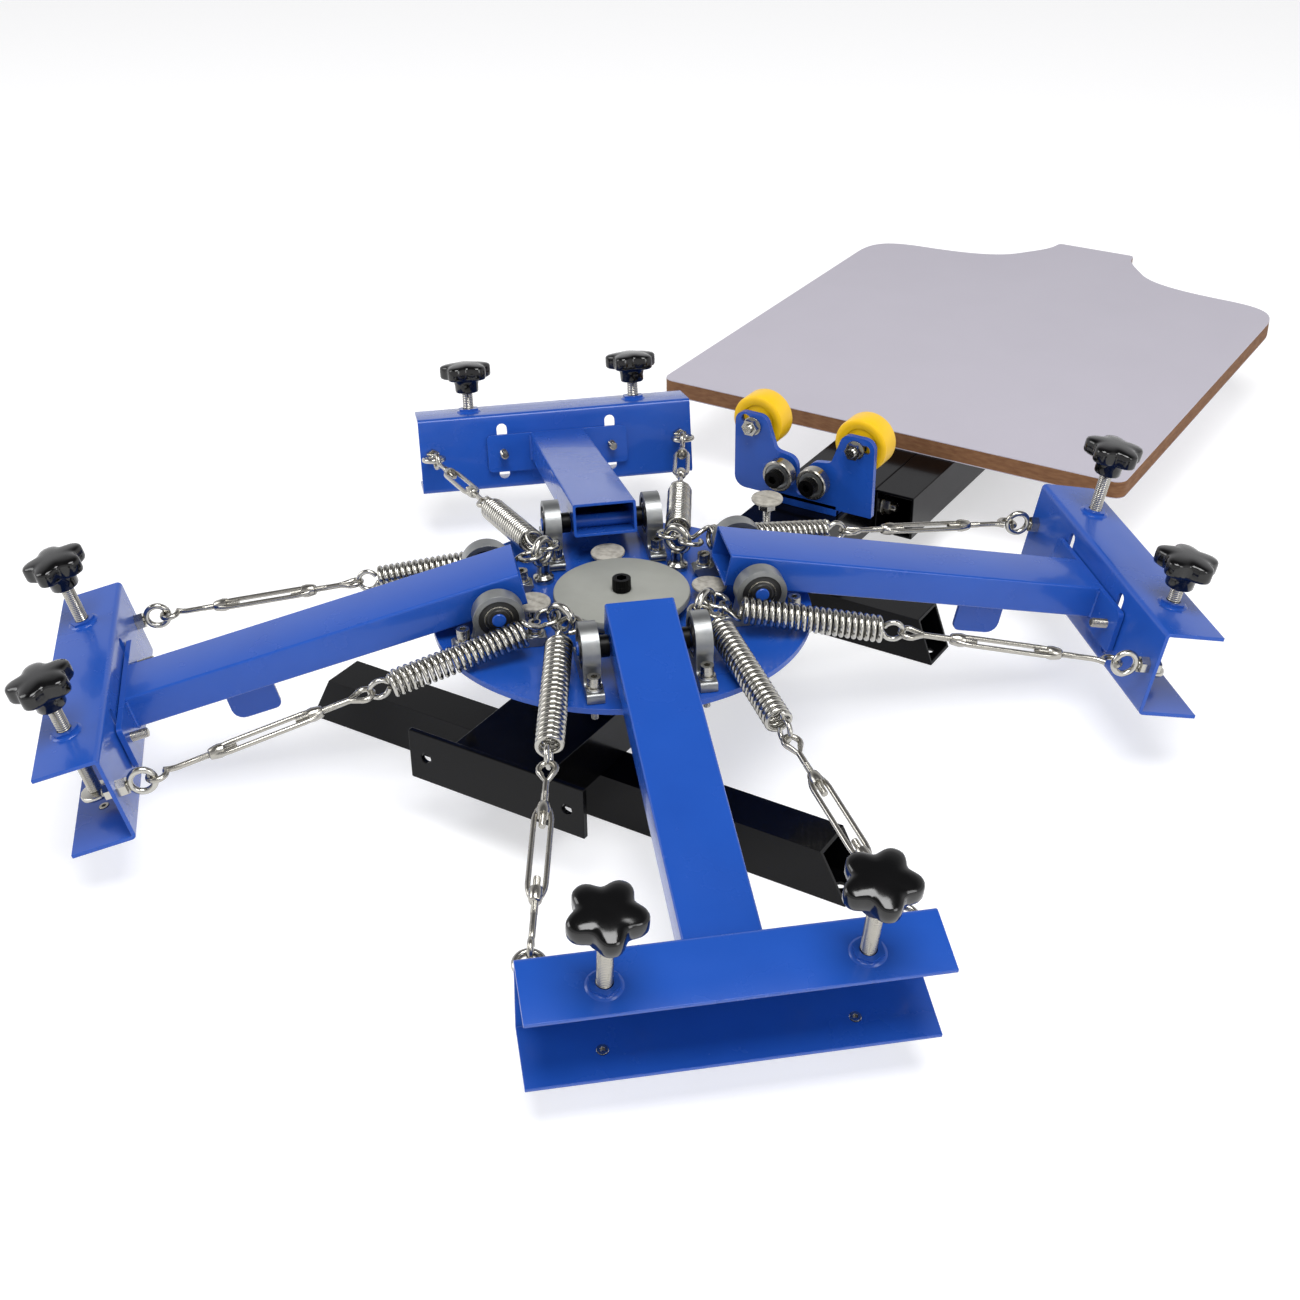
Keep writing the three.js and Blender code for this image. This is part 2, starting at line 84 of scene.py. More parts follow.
def add_softbox(name, place, size, power):
    light = bpy.data.lights.new(name, "AREA")
    light.shape = "RECTANGLE"
    light.size, light.size_y = size
    light.energy = power
    lamp = bpy.data.objects.new(name, light)
    lamp.location = place
    aim = VIEW_TARGET - Vector(place)
    lamp.rotation_euler = aim.to_track_quat("-Z", "Y").to_euler()
    bpy.context.collection.objects.link(lamp)


def linear(code):
    """An sRGB hex colour as linear red, green, blue and alpha."""
    channels = [int(code[i:i + 2], 16) / 255 for i in (1, 3, 5)]
    return (*[c / 12.92 if c <= 0.04045 else ((c + 0.055) / 1.055) ** 2.4 for c in channels], 1)


def node(tree, kind, inputs={}, **settings):
    """Adds one node, sets what is given, and links the inputs that are given as sockets."""
    made = tree.nodes.new(kind)
    for key, value in settings.items():
        setattr(made, key, value)
    for key, value in inputs.items():
        if isinstance(value, bpy.types.NodeSocket):
            tree.links.new(value, made.inputs[key])
        else:
            made.inputs[key].default_value = value
    return made


def light_the_room():
    world = bpy.data.worlds.new("studio")
    bpy.context.scene.world = world
    world.use_nodes = True
    tree = world.node_tree
    tree.nodes.clear()
    sky = node(tree, "ShaderNodeTexCoord")
    height = node(tree, "ShaderNodeSeparateXYZ", {"Vector": sky.outputs["Generated"]})
    ramp = node(tree, "ShaderNodeValToRGB", {"Fac": height.outputs["Z"]})
    stops = ramp.color_ramp.elements
    stops[0].position, stops[0].color = 0.0, (0.95, 0.95, 0.96, 1)
    stops[1].position, stops[1].color = 0.80, (0.10, 0.10, 0.11, 1)
    pale = stops.new(0.42)
    pale.color = (0.82, 0.82, 0.84, 1)
    glow = node(tree, "ShaderNodeBackground", {"Color": ramp.outputs["Color"], "Strength": 1.0})
    node(tree, "ShaderNodeOutputWorld", {"Surface": glow.outputs["Background"]})


def add_table():
    bpy.ops.mesh.primitive_plane_add(size=30, location=(0, 0, -0.0002))
    table = bpy.context.object
    table.name = "table_top"
    material = bpy.data.materials.new("white_table")
    material.use_nodes = True
    shader = material.node_tree.nodes["Principled BSDF"]
    shader.inputs["Base Color"].default_value = linear("#C8C8C8")
    shader.inputs["Roughness"].default_value = 0.75
    shader.inputs["Emission Color"].default_value = (1, 1, 1, 1)
    shader.inputs["Emission Strength"].default_value = 0.52
    table.data.materials.append(material)


add_camera()
light_the_room()
add_softbox("key", (0.7, -0.7, 3.0), (1.7, 1.7), 92)
add_softbox("left_side", (-2.4, -1.2, 1.6), (1.2, 1.6), 26)
add_softbox("right_side", (2.2, -0.6, 1.3), (0.8, 1.2), 14)
add_table()
bpy.context.scene.view_settings.view_transform = "Standard"

# ---------------------------------------------------------------- base
# Square and rectangular steel tube, cut, welded and stove enamelled in gloss black.
# Each tube has rolled corners, and the feet are mitred at their ends.
TUBE_CORNER = 0.9
BEAM_TOP = 77.6


def fresh(name):
    """A new empty material and its node tree."""
    material = bpy.data.materials.new(name)
    material.use_nodes = True
    material.node_tree.nodes.clear()
    return material, material.node_tree


def pattern(tree, size, detail, stretch=None):
    """Cloudy noise in the piece's own space. Its blotches are of a size in millimetres."""
    place = node(tree, "ShaderNodeTexCoord").outputs["Object"]
    if stretch:
        squeezed = node(tree, "ShaderNodeMapping", {"Vector": place, "Scale": stretch})
        place = squeezed.outputs["Vector"]
    return node(tree, "ShaderNodeTexNoise", {
        "Vector": place, "Scale": 1 / (size * MM), "Detail": detail,
    }).outputs["Fac"]


def blend(tree, cloud, first, second):
    """A tone that drifts between two hex colours."""
    return node(tree, "ShaderNodeMix", {
        "Factor": cloud, "A": linear(first), "B": linear(second),
    }, data_type="RGBA").outputs["Result"]


def ramp_of(tree, cloud, *stops):
    """A tone that steps from one (position, hex colour) to the other."""
    ramp = node(tree, "ShaderNodeValToRGB", {"Fac": cloud})
    for element, (position, code) in zip(ramp.color_ramp.elements, stops):
        element.position = position
        element.color = linear(code)
    return ramp.outputs["Color"]


def between(tree, cloud, low, high):
    """A value that drifts between a low and a high one."""
    return node(tree, "ShaderNodeMapRange", {
        "Value": cloud, "To Min": low, "To Max": high,
    }).outputs["Result"]


def surface(material, tree, inputs, relief=None):
    """Closes a material. A relief is its pattern, its strength and its depth in millimetres."""
    if relief:
        height, strength, depth = relief
        inputs["Normal"] = node(tree, "ShaderNodeBump", {
            "Height": height, "Strength": strength, "Distance": depth * MM,
        }).outputs["Normal"]
    shader = node(tree, "ShaderNodeBsdfPrincipled", inputs)
    node(tree, "ShaderNodeOutputMaterial", {"Surface": shader.outputs["BSDF"]})
    return material


def coated_steel(name, colour, deep, roughness, peel, ior, coat):
    """Powder coating baked on steel. It gives a deep colour under a clear gloss that ripples
    like orange peel, with a faint drift in tone where the powder lies thicker."""
    material, tree = fresh(name)
    return surface(material, tree, {
        "Base Color": blend(tree, pattern(tree, 45, 3.0), colour, deep),
        "Roughness": between(tree, pattern(tree, 28, 5.0), roughness - 0.05, roughness + 0.07),
        "IOR": ior, "Coat Weight": coat, "Coat Roughness": 0.05,
    }, (pattern(tree, 1.6, 2.0), peel, 0.3))


black_enamel = coated_steel("black_stove_enamel", "#060607", "#030304", 0.17, 0.08, 1.20, 0.10)


def roll_edges(part, edge, segments, limit):
    """Rolls over, by a bevel in mm, the edges that turn by more than a limit in degrees."""
    rolled = part.modifiers.new("rolled", "BEVEL")
    rolled.width = edge * MM
    rolled.segments = segments
    rolled.limit_method = "ANGLE"
    rolled.angle_limit = radians(limit)
    rolled.harden_normals = True


def dress(name, finish, edge):
    """Gives a tube its finish and rolls its sharp edges over by a bevel, in mm."""
    tube = frame["nodes"][name]
    tube.data.materials.clear()
    tube.data.materials.append(finish)
    weld = tube.modifiers.new("weld", "WELD")
    weld.merge_threshold = 0.02 * MM
    roll_edges(tube, edge, 3, 35)


for tube in ("main_beam", "front_foot", "rear_foot", "pallet_arm"):
    dress(tube, black_enamel, TUBE_CORNER)
dress("bench_plate", black_enamel, 0.8)

# ---------------------------------------------------------------- pallet
# Fibreboard faced on both sides with a lilac grey laminate. The sawn brown edge shows all
# round, and the collar tab at the far end takes the neck of a garment.
# A shape is a list of corners in millimetres and a list of faces.
LAMINATE = 0.8
PALLET = dict(half=225, near=498, shoulder=964, far=1048, bottom=BEAM_TOP, thickness=16)


def moved(shape, matrix):
    return [matrix @ corner for corner in shape[0]], shape[1]


def lift(height):
    """A matrix that moves a shape along Z."""
    return Matrix.Translation((0, 0, height))


def extruded(outline, depth, holes=()):
    """A flat outline with holes, raised along Z from 0 to depth."""
    loops = [outline, *holes]
    flat = [[Vector((x, y, 0)) for x, y in loop] for loop in loops]
    corners = [Vector((x, y, z)) for z in (0, depth) for loop in loops for x, y in loop]
    half = len(corners) // 2
    faces = []
    for triangle in tessellate_polygon(flat):
        faces.append(list(triangle))
        faces.append([i + half for i in reversed(triangle)])
    start = 0
    for loop in loops:
        count = len(loop)
        for i in range(count):
            a, b = start + i, start + (i + 1) % count
            faces.append([a, b, b + half, a + half])
        start += count
    return corners, faces


def filleted(corners, steps=5):
    """An outline from (x, y, radius) corners, each rounded by an arc of its radius."""
    outline = []
    for i, (x, y, radius) in enumerate(corners):
        here = Vector((x, y))
        before = (Vector(corners[i - 1][:2]) - here).normalized()
        after = (Vector(corners[(i + 1) % len(corners)][:2]) - here).normalized()
        if radius == 0:
            outline.append((x, y))
            continue
        half = before.angle(after) / 2
        reach = radius * cos(half) / sin(half)
        start, end = here + before * reach, here + after * reach
        centre = here + (before + after).normalized() * (radius / sin(half))
        first = atan2(start.y - centre.y, start.x - centre.x)
        sweep = atan2(end.y - centre.y, end.x - centre.x) - first
        sweep = (sweep + pi) % (2 * pi) - pi
        for step in range(steps + 1):
            angle = first + sweep * step / steps
            outline.append((centre.x + radius * cos(angle), centre.y + radius * sin(angle)))
    return outline


def made(name, shape, finish, body, slot, stands_for=(), edge=0.0, cuts=None, crease=38):
    """Makes a piece of the press: its mesh in metres, its finish, its rolled edges and the
    body that carries it."""
    def mesh_of(corners, faces):
        mesh = bpy.data.meshes.new(name)
        mesh.from_pydata([corner * MM for corner in corners], [], faces)
        work = bmesh.new()
        work.from_mesh(mesh)
        bmesh.ops.recalc_face_normals(work, faces=work.faces)
        if edge or cuts:
            bmesh.ops.dissolve_limit(work, angle_limit=radians(0.5), verts=work.verts,
                                     edges=work.edges)
        work.to_mesh(mesh)
        work.free()
        return mesh
    part = bpy.data.objects.new(name, mesh_of(*shape))
    bpy.context.collection.objects.link(part)
    if cuts:
        tool = bpy.data.objects.new("tool", mesh_of(*cuts))
        bpy.context.collection.objects.link(tool)
        bore = part.modifiers.new("bore", "BOOLEAN")
        bore.object, bore.operation, bore.solver = tool, "DIFFERENCE", "EXACT"
        settled = part.evaluated_get(bpy.context.evaluated_depsgraph_get())
        part.data = bpy.data.meshes.new_from_object(settled)
        part.modifiers.clear()
        bpy.data.objects.remove(tool)
    part.data.name = name
    part.data.materials.clear()
    part.data.materials.append(finish)
    part.data.polygons.foreach_set("use_smooth", [True] * len(part.data.polygons))
    part.data.set_sharp_from_angle(angle=radians(crease))
    if edge:
        roll_edges(part, edge, 2, crease)
    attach(part, body)
    if stands_for:
        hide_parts(*stands_for)
    return part


def pallet_outline():
    half, near, shoulder, far = (PALLET[key] for key in ("half", "near", "shoulder", "far"))
    bends = [
        ((half, shoulder - 50), (half, shoulder - 10), (205, shoulder - 2), (165, shoulder)),
        ((165, shoulder), (120, shoulder + 3), (85, shoulder + 10), (68, shoulder + 34)),
        ((68, shoulder + 34), (56, shoulder + 50), (44, far - 22), (43, far - 4)),
    ]
    right = filleted([(0, near, 0), (half, near, 10), (half, shoulder, 0)], 6)[1:8]
    for bend in bends:
        right += [tuple(p.xy) for p in interpolate_bezier(*[Vector((*p, 0)) for p in bend], 14)]
    right += [(41.5, far - 1), (38, far)]
    return right + [(-x, y) for x, y in reversed(right)]


def laminate():
    """High-pressure laminate. Its printed face is even, with a faint cloudy tone and a fine
    suede texture that spreads the light."""
    material, tree = fresh("lilac_laminate")
    return surface(material, tree, {
        "Base Color": blend(tree, pattern(tree, 60, 4.0), "#B1ADB7", "#ACA8B2"),
        "Roughness": 0.52, "IOR": 1.5,
    }, (pattern(tree, 0.9, 2.0), 0.08, 0.2))


def fibreboard():
    """The sawn edge of medium-density fibreboard: matt brown, with short fibres that lie along
    the board and a furry saw cut. The real edge is darker towards the faces, which this
    cloudy pattern leaves out."""
    material, tree = fresh("sawn_fibreboard")
    fibre = pattern(tree, 2.4, 4.0, (0.25, 0.25, 1.0))
    return surface(material, tree, {
        "Base Color": ramp_of(tree, fibre, (0.3, "#664329"), (0.75, "#7F5A3B")),
        "Roughness": 0.85, "IOR": 1.45,
    }, (fibre, 0.2, 0.4))


lilac_laminate = laminate()
sawn_fibreboard = fibreboard()
core = PALLET["thickness"] - 2 * LAMINATE
sheet = extruded(pallet_outline(), LAMINATE)
low, high = PALLET["bottom"], PALLET["bottom"] + LAMINATE + core
made("pallet_core", moved(extruded(pallet_outline(), core), lift(low + LAMINATE)),
     sawn_fibreboard, "base", "pallet_board", ["pallet"])
made("pallet_top_laminate", moved(sheet, lift(high)), lilac_laminate,
     "base", "pallet_board", edge=0.25)
made("pallet_under_laminate", moved(sheet, lift(low)), lilac_laminate,
     "base", "pallet_board", edge=0.25)

# ---------------------------------------------------------------- hub
# A cast post carries the turntable. A thick grey cap holds the turntable down, under a black
# socket-head bolt with a knurled head.
AXIS = Matrix.Translation((0, 72, 0))
DISC_TOP = 118.5
CAP_TOP = 133.0


def turned(profile, sides=40):
    """Turned about Z from (radius, height) pairs that start and end on the axis, or that
    close on themselves."""
    loop = profile[0] == profile[-1]
    corners = []
    rings = []
    for radius, height in profile[:-1] if loop else profile:
        if radius == 0:
            rings.append([len(corners)] * sides)
            corners.append(Vector((0, 0, height)))
            continue
        rings.append([len(corners) + i for i in range(sides)])
        for i in range(sides):
            angle = 2 * pi * i / sides
            corners.append(Vector((radius * cos(angle), radius * sin(angle), height)))
    faces = []
    for low, high in zip(rings, rings[1:] + (rings[:1] if loop else [])):
        for i in range(sides):
            j = (i + 1) % sides
            face = list(dict.fromkeys((low[i], low[j], high[j], high[i])))
            if len(face) > 2:
                faces.append(face)
    return corners, faces


def joined(*shapes):
    corners = []
    faces = []
    for more, around in shapes:
        faces += [[i + len(corners) for i in face] for face in around]
        corners += more
    return corners, faces


def circle(radius, x=0.0, y=0.0, sides=32):
    return [(x + radius * cos(2 * pi * i / sides), y + radius * sin(2 * pi * i / sides))
            for i in range(sides)]


def cast_grey_paint(name, light, dark, grit, roughness, metal):
    """A zinc or iron casting with a thin grey finish. The sand or die leaves a pebbled skin,
    and the tone is mottled where the finish lies thin."""
    material, tree = fresh(name)
    return surface(material, tree, {
        "Base Color": blend(tree, pattern(tree, 9, 6.0), light, dark),
        "Roughness": roughness, "Metallic": metal,
    }, (pattern(tree, grit, 3.0), 0.22, 0.3))


def steel(name, colour, roughness, grain):
    """Bare or zinc-plated steel, drawn or turned. It mirrors the room in bright and dark
    bands, with fine draw marks and a little haze where hands have been."""
    material, tree = fresh(name)
    return surface(material, tree, {
        "Base Color": linear(colour), "Metallic": 1.0,
        "Roughness": between(tree, pattern(tree, 7, 5.0), roughness - 0.06, roughness + 0.12),
    }, (pattern(tree, grain, 3.0), 0.12, 0.1))


hub_paint = cast_grey_paint("grey_hub_paint", "#969790", "#8D8E87", 1.4, 0.42, 0.0)
zinc_casting = cast_grey_paint("zinc_casting", "#9A9B98", "#73767A", 1.1, 0.36, 0.85)
black_oxide = steel("black_oxide_steel", "#1A1A1A", 0.34, 0.8)


def socket_head(radius, height, socket, teeth=0):
    """The head of a socket screw standing on z = 0, knurled if it has teeth."""
    rim = circle(radius, sides=32)
    if teeth:
        rim = []
        for i in range(2 * teeth):
            angle = pi * i / teeth
            reach = radius - 0.35 * (i % 2)
            rim.append((reach * cos(angle), reach * sin(angle)))
    hexagon = circle(socket, sides=6)
    floor = height * 0.45
    upper = moved(extruded(rim, height - floor, [hexagon]), lift(floor))
    return joined(upper, extruded(rim, floor + 0.01))


made("hub_post_casting", moved(turned([
    (0, BEAM_TOP), (36, BEAM_TOP), (36, 83), (34.5, 84.5), (31, 85), (30, 87), (30, 112),
    (29, 113.7), (10, 113.7), (10, 126.7), (0, 126.7)], 64), AXIS), zinc_casting, "base",
     "cast_grey", ["hub_post"])
made("hub_cap_disc", moved(turned([
    (0, 127.2), (38, 127.2), (38, 119), (40, 119), (40, 127), (48, 127), (48.8, 127.5),
    (49, 128.3), (49, 131.6), (48.7, 132.5), (47.8, CAP_TOP), (7.6, CAP_TOP), (7.2, 132.6),
    (0, 132.6)], 96), AXIS),
     hub_paint, "base", "cast_grey", ["hub_cap"])
made("hub_bolt_head", moved(socket_head(6.8, 9.7, 3.9, 30), AXIS @ lift(CAP_TOP)),
     black_oxide, "base", "black_steel", ["hub_bolt"], edge=0.25, crease=50)

# ---------------------------------------------------------------- pallet arm fixings
# Two bolts pass through the main beam into the side of the pallet arm. Their nuts are inside
# the arm, and the near one shows in its open end.


def facing(direction, place=(0, 0, 0)):
    """A matrix that turns Z to a direction and moves the origin to a place."""
    turn = Vector(direction).to_track_quat("Z", "Y").to_matrix().to_4x4()
    return Matrix.Translation(Vector(place)) @ turn


def stacked(place, *parts):
    """Joins (shape, height) pairs that stand on one axis."""
    return joined(*[moved(shape, place @ lift(height)) for shape, height in parts])


def arm_fixing(y):
    """A nut, a washer and the end of a bolt, along X from the inner wall of the arm."""
    return stacked(facing((1, 0, 0), (40.4, y, 57.8)),
                   (extruded(circle(9, sides=32), 1.6), 0),
                   (extruded(circle(7.5, sides=6), 6), 1.7),
                   (turned([(0, 7), (4, 7), (4, 12), (3.2, 12.8), (0, 12.8)], 24), 0))


made("pallet_arm_nuts", joined(arm_fixing(428), arm_fixing(700)), steel(
    "zinc_plated_nuts", "#A9A69D", 0.24, 0.6), "base", "bright_steel", edge=0.4)

# ---------------------------------------------------------------- turntable
# A round plate, laser cut from 4.5 mm steel and powder coated blue. Four ring bolts stand
# between the arms, each on a shoulder nut, and hold two springs each.
DISC_R = 136
blue_powder = coated_steel("blue_powder_coat", "#1D4CA4", "#184498", 0.25, 0.08, 1.34, 0.25)
bright_zinc = steel("bright_zinc_plate", "#B2B0A9", 0.17, 0.5)
stainless = steel("stainless_steel", "#A8A59D", 0.22, 0.6)
joints = {joint["name"]: joint for joint in frame["joints"]}
ARMS = (1, 2, 3, 4)


def ring_faces(count, sides, closed=False):
    """Faces round a row of rings of corners, with a cap at each end unless the row closes."""
    faces = []
    for ring in range(count if closed else count - 1):
        low, high = ring * sides, (ring + 1) % count * sides
        for i in range(sides):
            j = (i + 1) % sides
            faces.append([low + i, low + j, high + j, high + i])
    if not closed:
        faces.append(list(range(sides))[::-1])
        faces.append([(count - 1) * sides + i for i in range(sides)])
    return faces


def bent(points, radius, sides=10, closed=False):
    """Round wire bent along a row of points."""
    points = [Vector(point) for point in points]
    count = len(points)
    ahead = []
    for i in range(count):
        before = points[i - 1] if closed or i else points[0]
        after = points[(i + 1) % count] if closed or i < count - 1 else points[-1]
        ahead.append((after - before).normalized())
    side = ahead[0].orthogonal().normalized()
    corners = []
    for point, direction in zip(points, ahead):
        side = (side - direction * side.dot(direction)).normalized()
        other = direction.cross(side)
        for i in range(sides):
            angle = 2 * pi * i / sides
            corners.append(point + (side * cos(angle) + other * sin(angle)) * radius)
    return corners, ring_faces(count, sides, closed)


def pivot_frame(arm, up):
    """The frame at an arm's pivot in mm: X outwards, Y across and Z along up."""
    pivot = joints[f"arm_lift_{arm}"]
    across = -Vector(pivot["axis"])
    turn = Matrix((across.cross(up), across, up)).transposed().to_4x4()
    return Matrix.Translation(Vector(pivot["pos_m"]) / MM) @ turn


def level_frame(arm):
    """The frame at an arm's pivot that stays level as the arm droops."""
    return pivot_frame(arm, Vector((0, 0, 1)))


def arm_frame(arm):
    """The frame of a drooping arm, with Z out of the top of its tube."""
    return pivot_frame(arm, Vector(joints[f"disc_press_{arm}a"]["axis"]))


PIVOT = (92.35, 24.57)
STOP_RADIUS = 64
PLATE = 4.5
holes = []
for arm in ARMS:
    hub = AXIS.inverted() @ level_frame(arm)
    holes.append([(p.x, p.y) for p in (hub @ Vector((x - PIVOT[0] + STOP_RADIUS, y, 0))
                                       for x, y in circle(3.9, sides=20))])
disc = extruded(circle(DISC_R, sides=128), PLATE, holes)
made("turntable_plate", moved(disc, AXIS @ lift(DISC_TOP - PLATE)),
     blue_powder, "turntable_body", "blue_paint", ["turntable"], edge=0.7)

RING = dict(circle=71, height=24.5, radius=9.3, wire=2.9)
loop = [(x, 0, z) for x, z in circle(RING["radius"], sides=40)]
ring_bolt = joined(
    moved(bent(loop, RING["wire"], 14, closed=True), lift(RING["height"])),
    turned([(0, 0), (7.6, 0), (7.8, 0.6), (7.8, 3.8), (7.2, 4.6), (5.6, 5.4), (4.8, 7), (4.6, 10),
            (4.8, 14.6), (0, 15.9)], 32))
for arm in ARMS:
    across = level_frame(arm).to_3x3() @ Vector((1, 1, 0)).normalized()
    outward = Matrix.Rotation(atan2(across.y, across.x), 4, "Z")
    at_edge = outward @ Matrix.Translation((RING["circle"], 0, DISC_TOP))
    upright = at_edge @ Matrix.Rotation(pi / 2, 4, "Z")
    made(f"ring_bolt_{arm}", moved(ring_bolt, AXIS @ upright), bright_zinc, "turntable_body",
         "chrome_steel")

# ---------------------------------------------------------------- stop screws
# Each arm lands on a moulded swivel pad, the size of a coin, that rocks on a levelling screw.
# A lock nut below the plate holds the setting. The print stop by the gate is the same part.


def moulded_pad():
    """Moulded nylon that has aged to a grey cream. It is matt, with a flow mark across the
    face and small scuffs where the arms land."""
    material, tree = fresh("cream_nylon")
    scuff = pattern(tree, 4, 8.0)
    return surface(material, tree, {
        "Base Color": ramp_of(tree, scuff, (0.35, "#8F8B82"), (0.6, "#AAA69C")),
        "Roughness": 0.5, "IOR": 1.53,
    }, (scuff, 0.25, 0.3))


def threaded(radius, pitch, low, high, sides=18):
    """A screw thread about Z, cut into a rod of that radius."""
    rows = int((high - low) / pitch * 4)
    depth = 0.45 * pitch
    corners = []
    for row in range(rows + 1):
        height = low + (high - low) * row / rows
        for i in range(sides):
            turn = i / sides
            phase = (height / pitch - turn) % 1.0
            reach = radius - depth * abs(2 * phase - 1)
            angle = 2 * pi * turn
            corners.append(Vector((reach * cos(angle), reach * sin(angle), height)))
    return corners, ring_faces(rows + 1, sides)


def hexagon_nut(across, height, bore):
    """A hexagon nut on z = 0, across its flats."""
    reach = across / sqrt(3)
    return extruded(circle(reach, sides=6), height, [circle(bore, sides=20)])


def hexagon_head(across, height):
    """The head of a hexagon bolt on z = 0."""
    return extruded(circle(across / sqrt(3), sides=6), height)


def washer(radius, thickness, bore):
    return extruded(circle(radius, sides=32), thickness, [circle(bore, sides=20)])


cream_nylon = moulded_pad()


def stop_screw(number, body, top, foot, nut_at, at, tilt, node_name, nut_width=10):
    """Makes a pad on its screw, with the top of the pad at a height, and returns its nut."""
    under = top - 3
    pad = turned([(0, -3), (11.2, -3), (12.5, -2.4), (12.8, -1.4), (12.5, -0.5), (11.6, 0),
                  (1.4, -0.15), (0, -0.2)], 48)
    groove = [(-10.4, -0.3), (10.4, -0.3), (10.4, 0.3), (-10.4, 0.3)]
    crease = moved(extruded(groove, 0.6), lift(-0.35))
    lean = Matrix.Translation((*at, top))
    lean = lean @ Matrix.Rotation(tilt[0], 4, "X") @ Matrix.Rotation(tilt[1], 4, "Y")
    made(f"stop_pad_{number}", moved(pad, lean), cream_nylon, body, "cream_plastic", [node_name],
         cuts=moved(crease, lean))
    screw = joined(
        moved(threaded(3.3, 1.0, foot, under - 2.6), Matrix.Translation((*at, 0))),
        moved(turned([(0, under - 3), (3.6, under - 3), (4.8, under - 2), (5, under - 0.4),
                      (0, under - 0.4)], 24), Matrix.Translation((*at, 0))))
    made(f"stop_stud_{number}", screw, bright_zinc, body, "chrome_steel")
    return moved(hexagon_nut(nut_width, 4.6, 3.5), Matrix.Translation((*at, nut_at)))


PRINT_STOP = (0, 290)
PAD_TILT = {1: (0.02, 0.03), 2: (-0.04, 0.03), 3: (0.03, -0.02), 4: (0.02, 0.03)}
for arm in ARMS:
    spot = level_frame(arm) @ Vector((STOP_RADIUS - PIVOT[0], 0, 0))
    nut = stop_screw(arm, f"stop_body_{arm}", DISC_TOP + 12.5, DISC_TOP - 14, DISC_TOP - 9.2,
                     (spot.x, spot.y), PAD_TILT[arm], f"stop_screw_{arm}")
    made(f"stop_nut_{arm}", nut, bright_zinc, "turntable_body", "chrome_steel", edge=0.4)
nut = stop_screw("print", "print_stop_body", 113.5, BEAM_TOP, BEAM_TOP + 0.1, PRINT_STOP,
                 (0.03, 0.02), "print_stop", 13)
made("stop_nut_print", nut, bright_zinc, "base", "chrome_steel", edge=0.4)
lock_nut = moved(hexagon_nut(13, 5.5, 3.4), Matrix.Translation((*PRINT_STOP, 103.4)))
made("print_stop_lock_nut", lock_nut, bright_zinc, "print_stop_body", "chrome_steel", edge=0.4)

# ---------------------------------------------------------------- pillow blocks
# Die-cast zinc housings, two for each arm, with a sealed ball bearing in each. Two socket
# screws hold each block down through the plate, with a nut beneath.
BLOCK = dict(near=32, far=44, bottom=-24.27, base=7, housing=18, seat=14)
EARS = (-24.8, 24.8)


def rubber_seal():
    """The nitrile seal of a ball bearing: near-black rubber, slightly greasy."""
    material, tree = fresh("bearing_seal_rubber")
    return surface(material, tree, {
        "Base Color": linear("#121212"), "IOR": 1.52,
        "Roughness": between(tree, pattern(tree, 5, 4.0), 0.28, 0.5),
    })


seal_rubber = rubber_seal()


def block_casting():
    """The housing, from y = 0 to its full width, with the pivot at its origin."""
    bottom, base, housing = BLOCK["bottom"], BLOCK["base"], BLOCK["housing"]
    shoulder = bottom + base
    half = 33
    outline = filleted([(-half, bottom, 0.6), (half, bottom, 0.6), (half, shoulder, 2.2),
                        (housing + 0.4, shoulder, 3.4), (housing - 1.4, -7, 0)], 5)
    outline += [(housing * cos(radians(a)), housing * sin(radians(a))) for a in range(-12, 193, 6)]
    outline += filleted([(-housing + 1.4, -7, 0), (-housing - 0.4, shoulder, 3.4),
                         (-half, shoulder, 2.2), (-half, bottom, 0)], 5)[:-1]
    width = BLOCK["far"] - BLOCK["near"]
    across = Matrix.Rotation(pi / 2, 4, "X")
    body = moved(extruded(outline, width, [circle(BLOCK["seat"], sides=40)]),
                 Matrix.Translation((0, width, 0)) @ across)
    bosses = [moved(turned([(0, 0), (6.3, 0), (6.3, 0.8), (5.7, 1.4), (0, 1.4)], 28),
                    Matrix.Translation((x, width / 2, shoulder))) for x in EARS]
    return body, joined(*bosses)


def block_bearing():
    """The black rings and seals of the bearing about Y, and the bright lip in each seal."""
    width = BLOCK["far"] - BLOCK["near"]
    across = Matrix.Rotation(-pi / 2, 4, "X")
    seal = turned([(7.6, 0.2), (8.2, 0.6), (12.6, 1.1), (14.05, 0.9), (14.05, width - 0.9),
                   (12.6, width - 1.1), (8.2, width - 0.6), (7.6, width - 0.2), (7.6, 0.2)], 48)
    inner = turned([(5.0, -0.7), (7.1, -0.7), (7.6, -0.2), (7.6, width + 0.2), (7.1, width + 0.7),
                    (5.0, width + 0.7), (5.0, -0.7)], 40)
    lip = turned([(9.3, 0.2), (10.2, 0.2), (10.2, width - 0.2), (9.3, width - 0.2), (9.3, 0.2)], 48)
    return moved(joined(seal, inner), across), moved(lip, across)


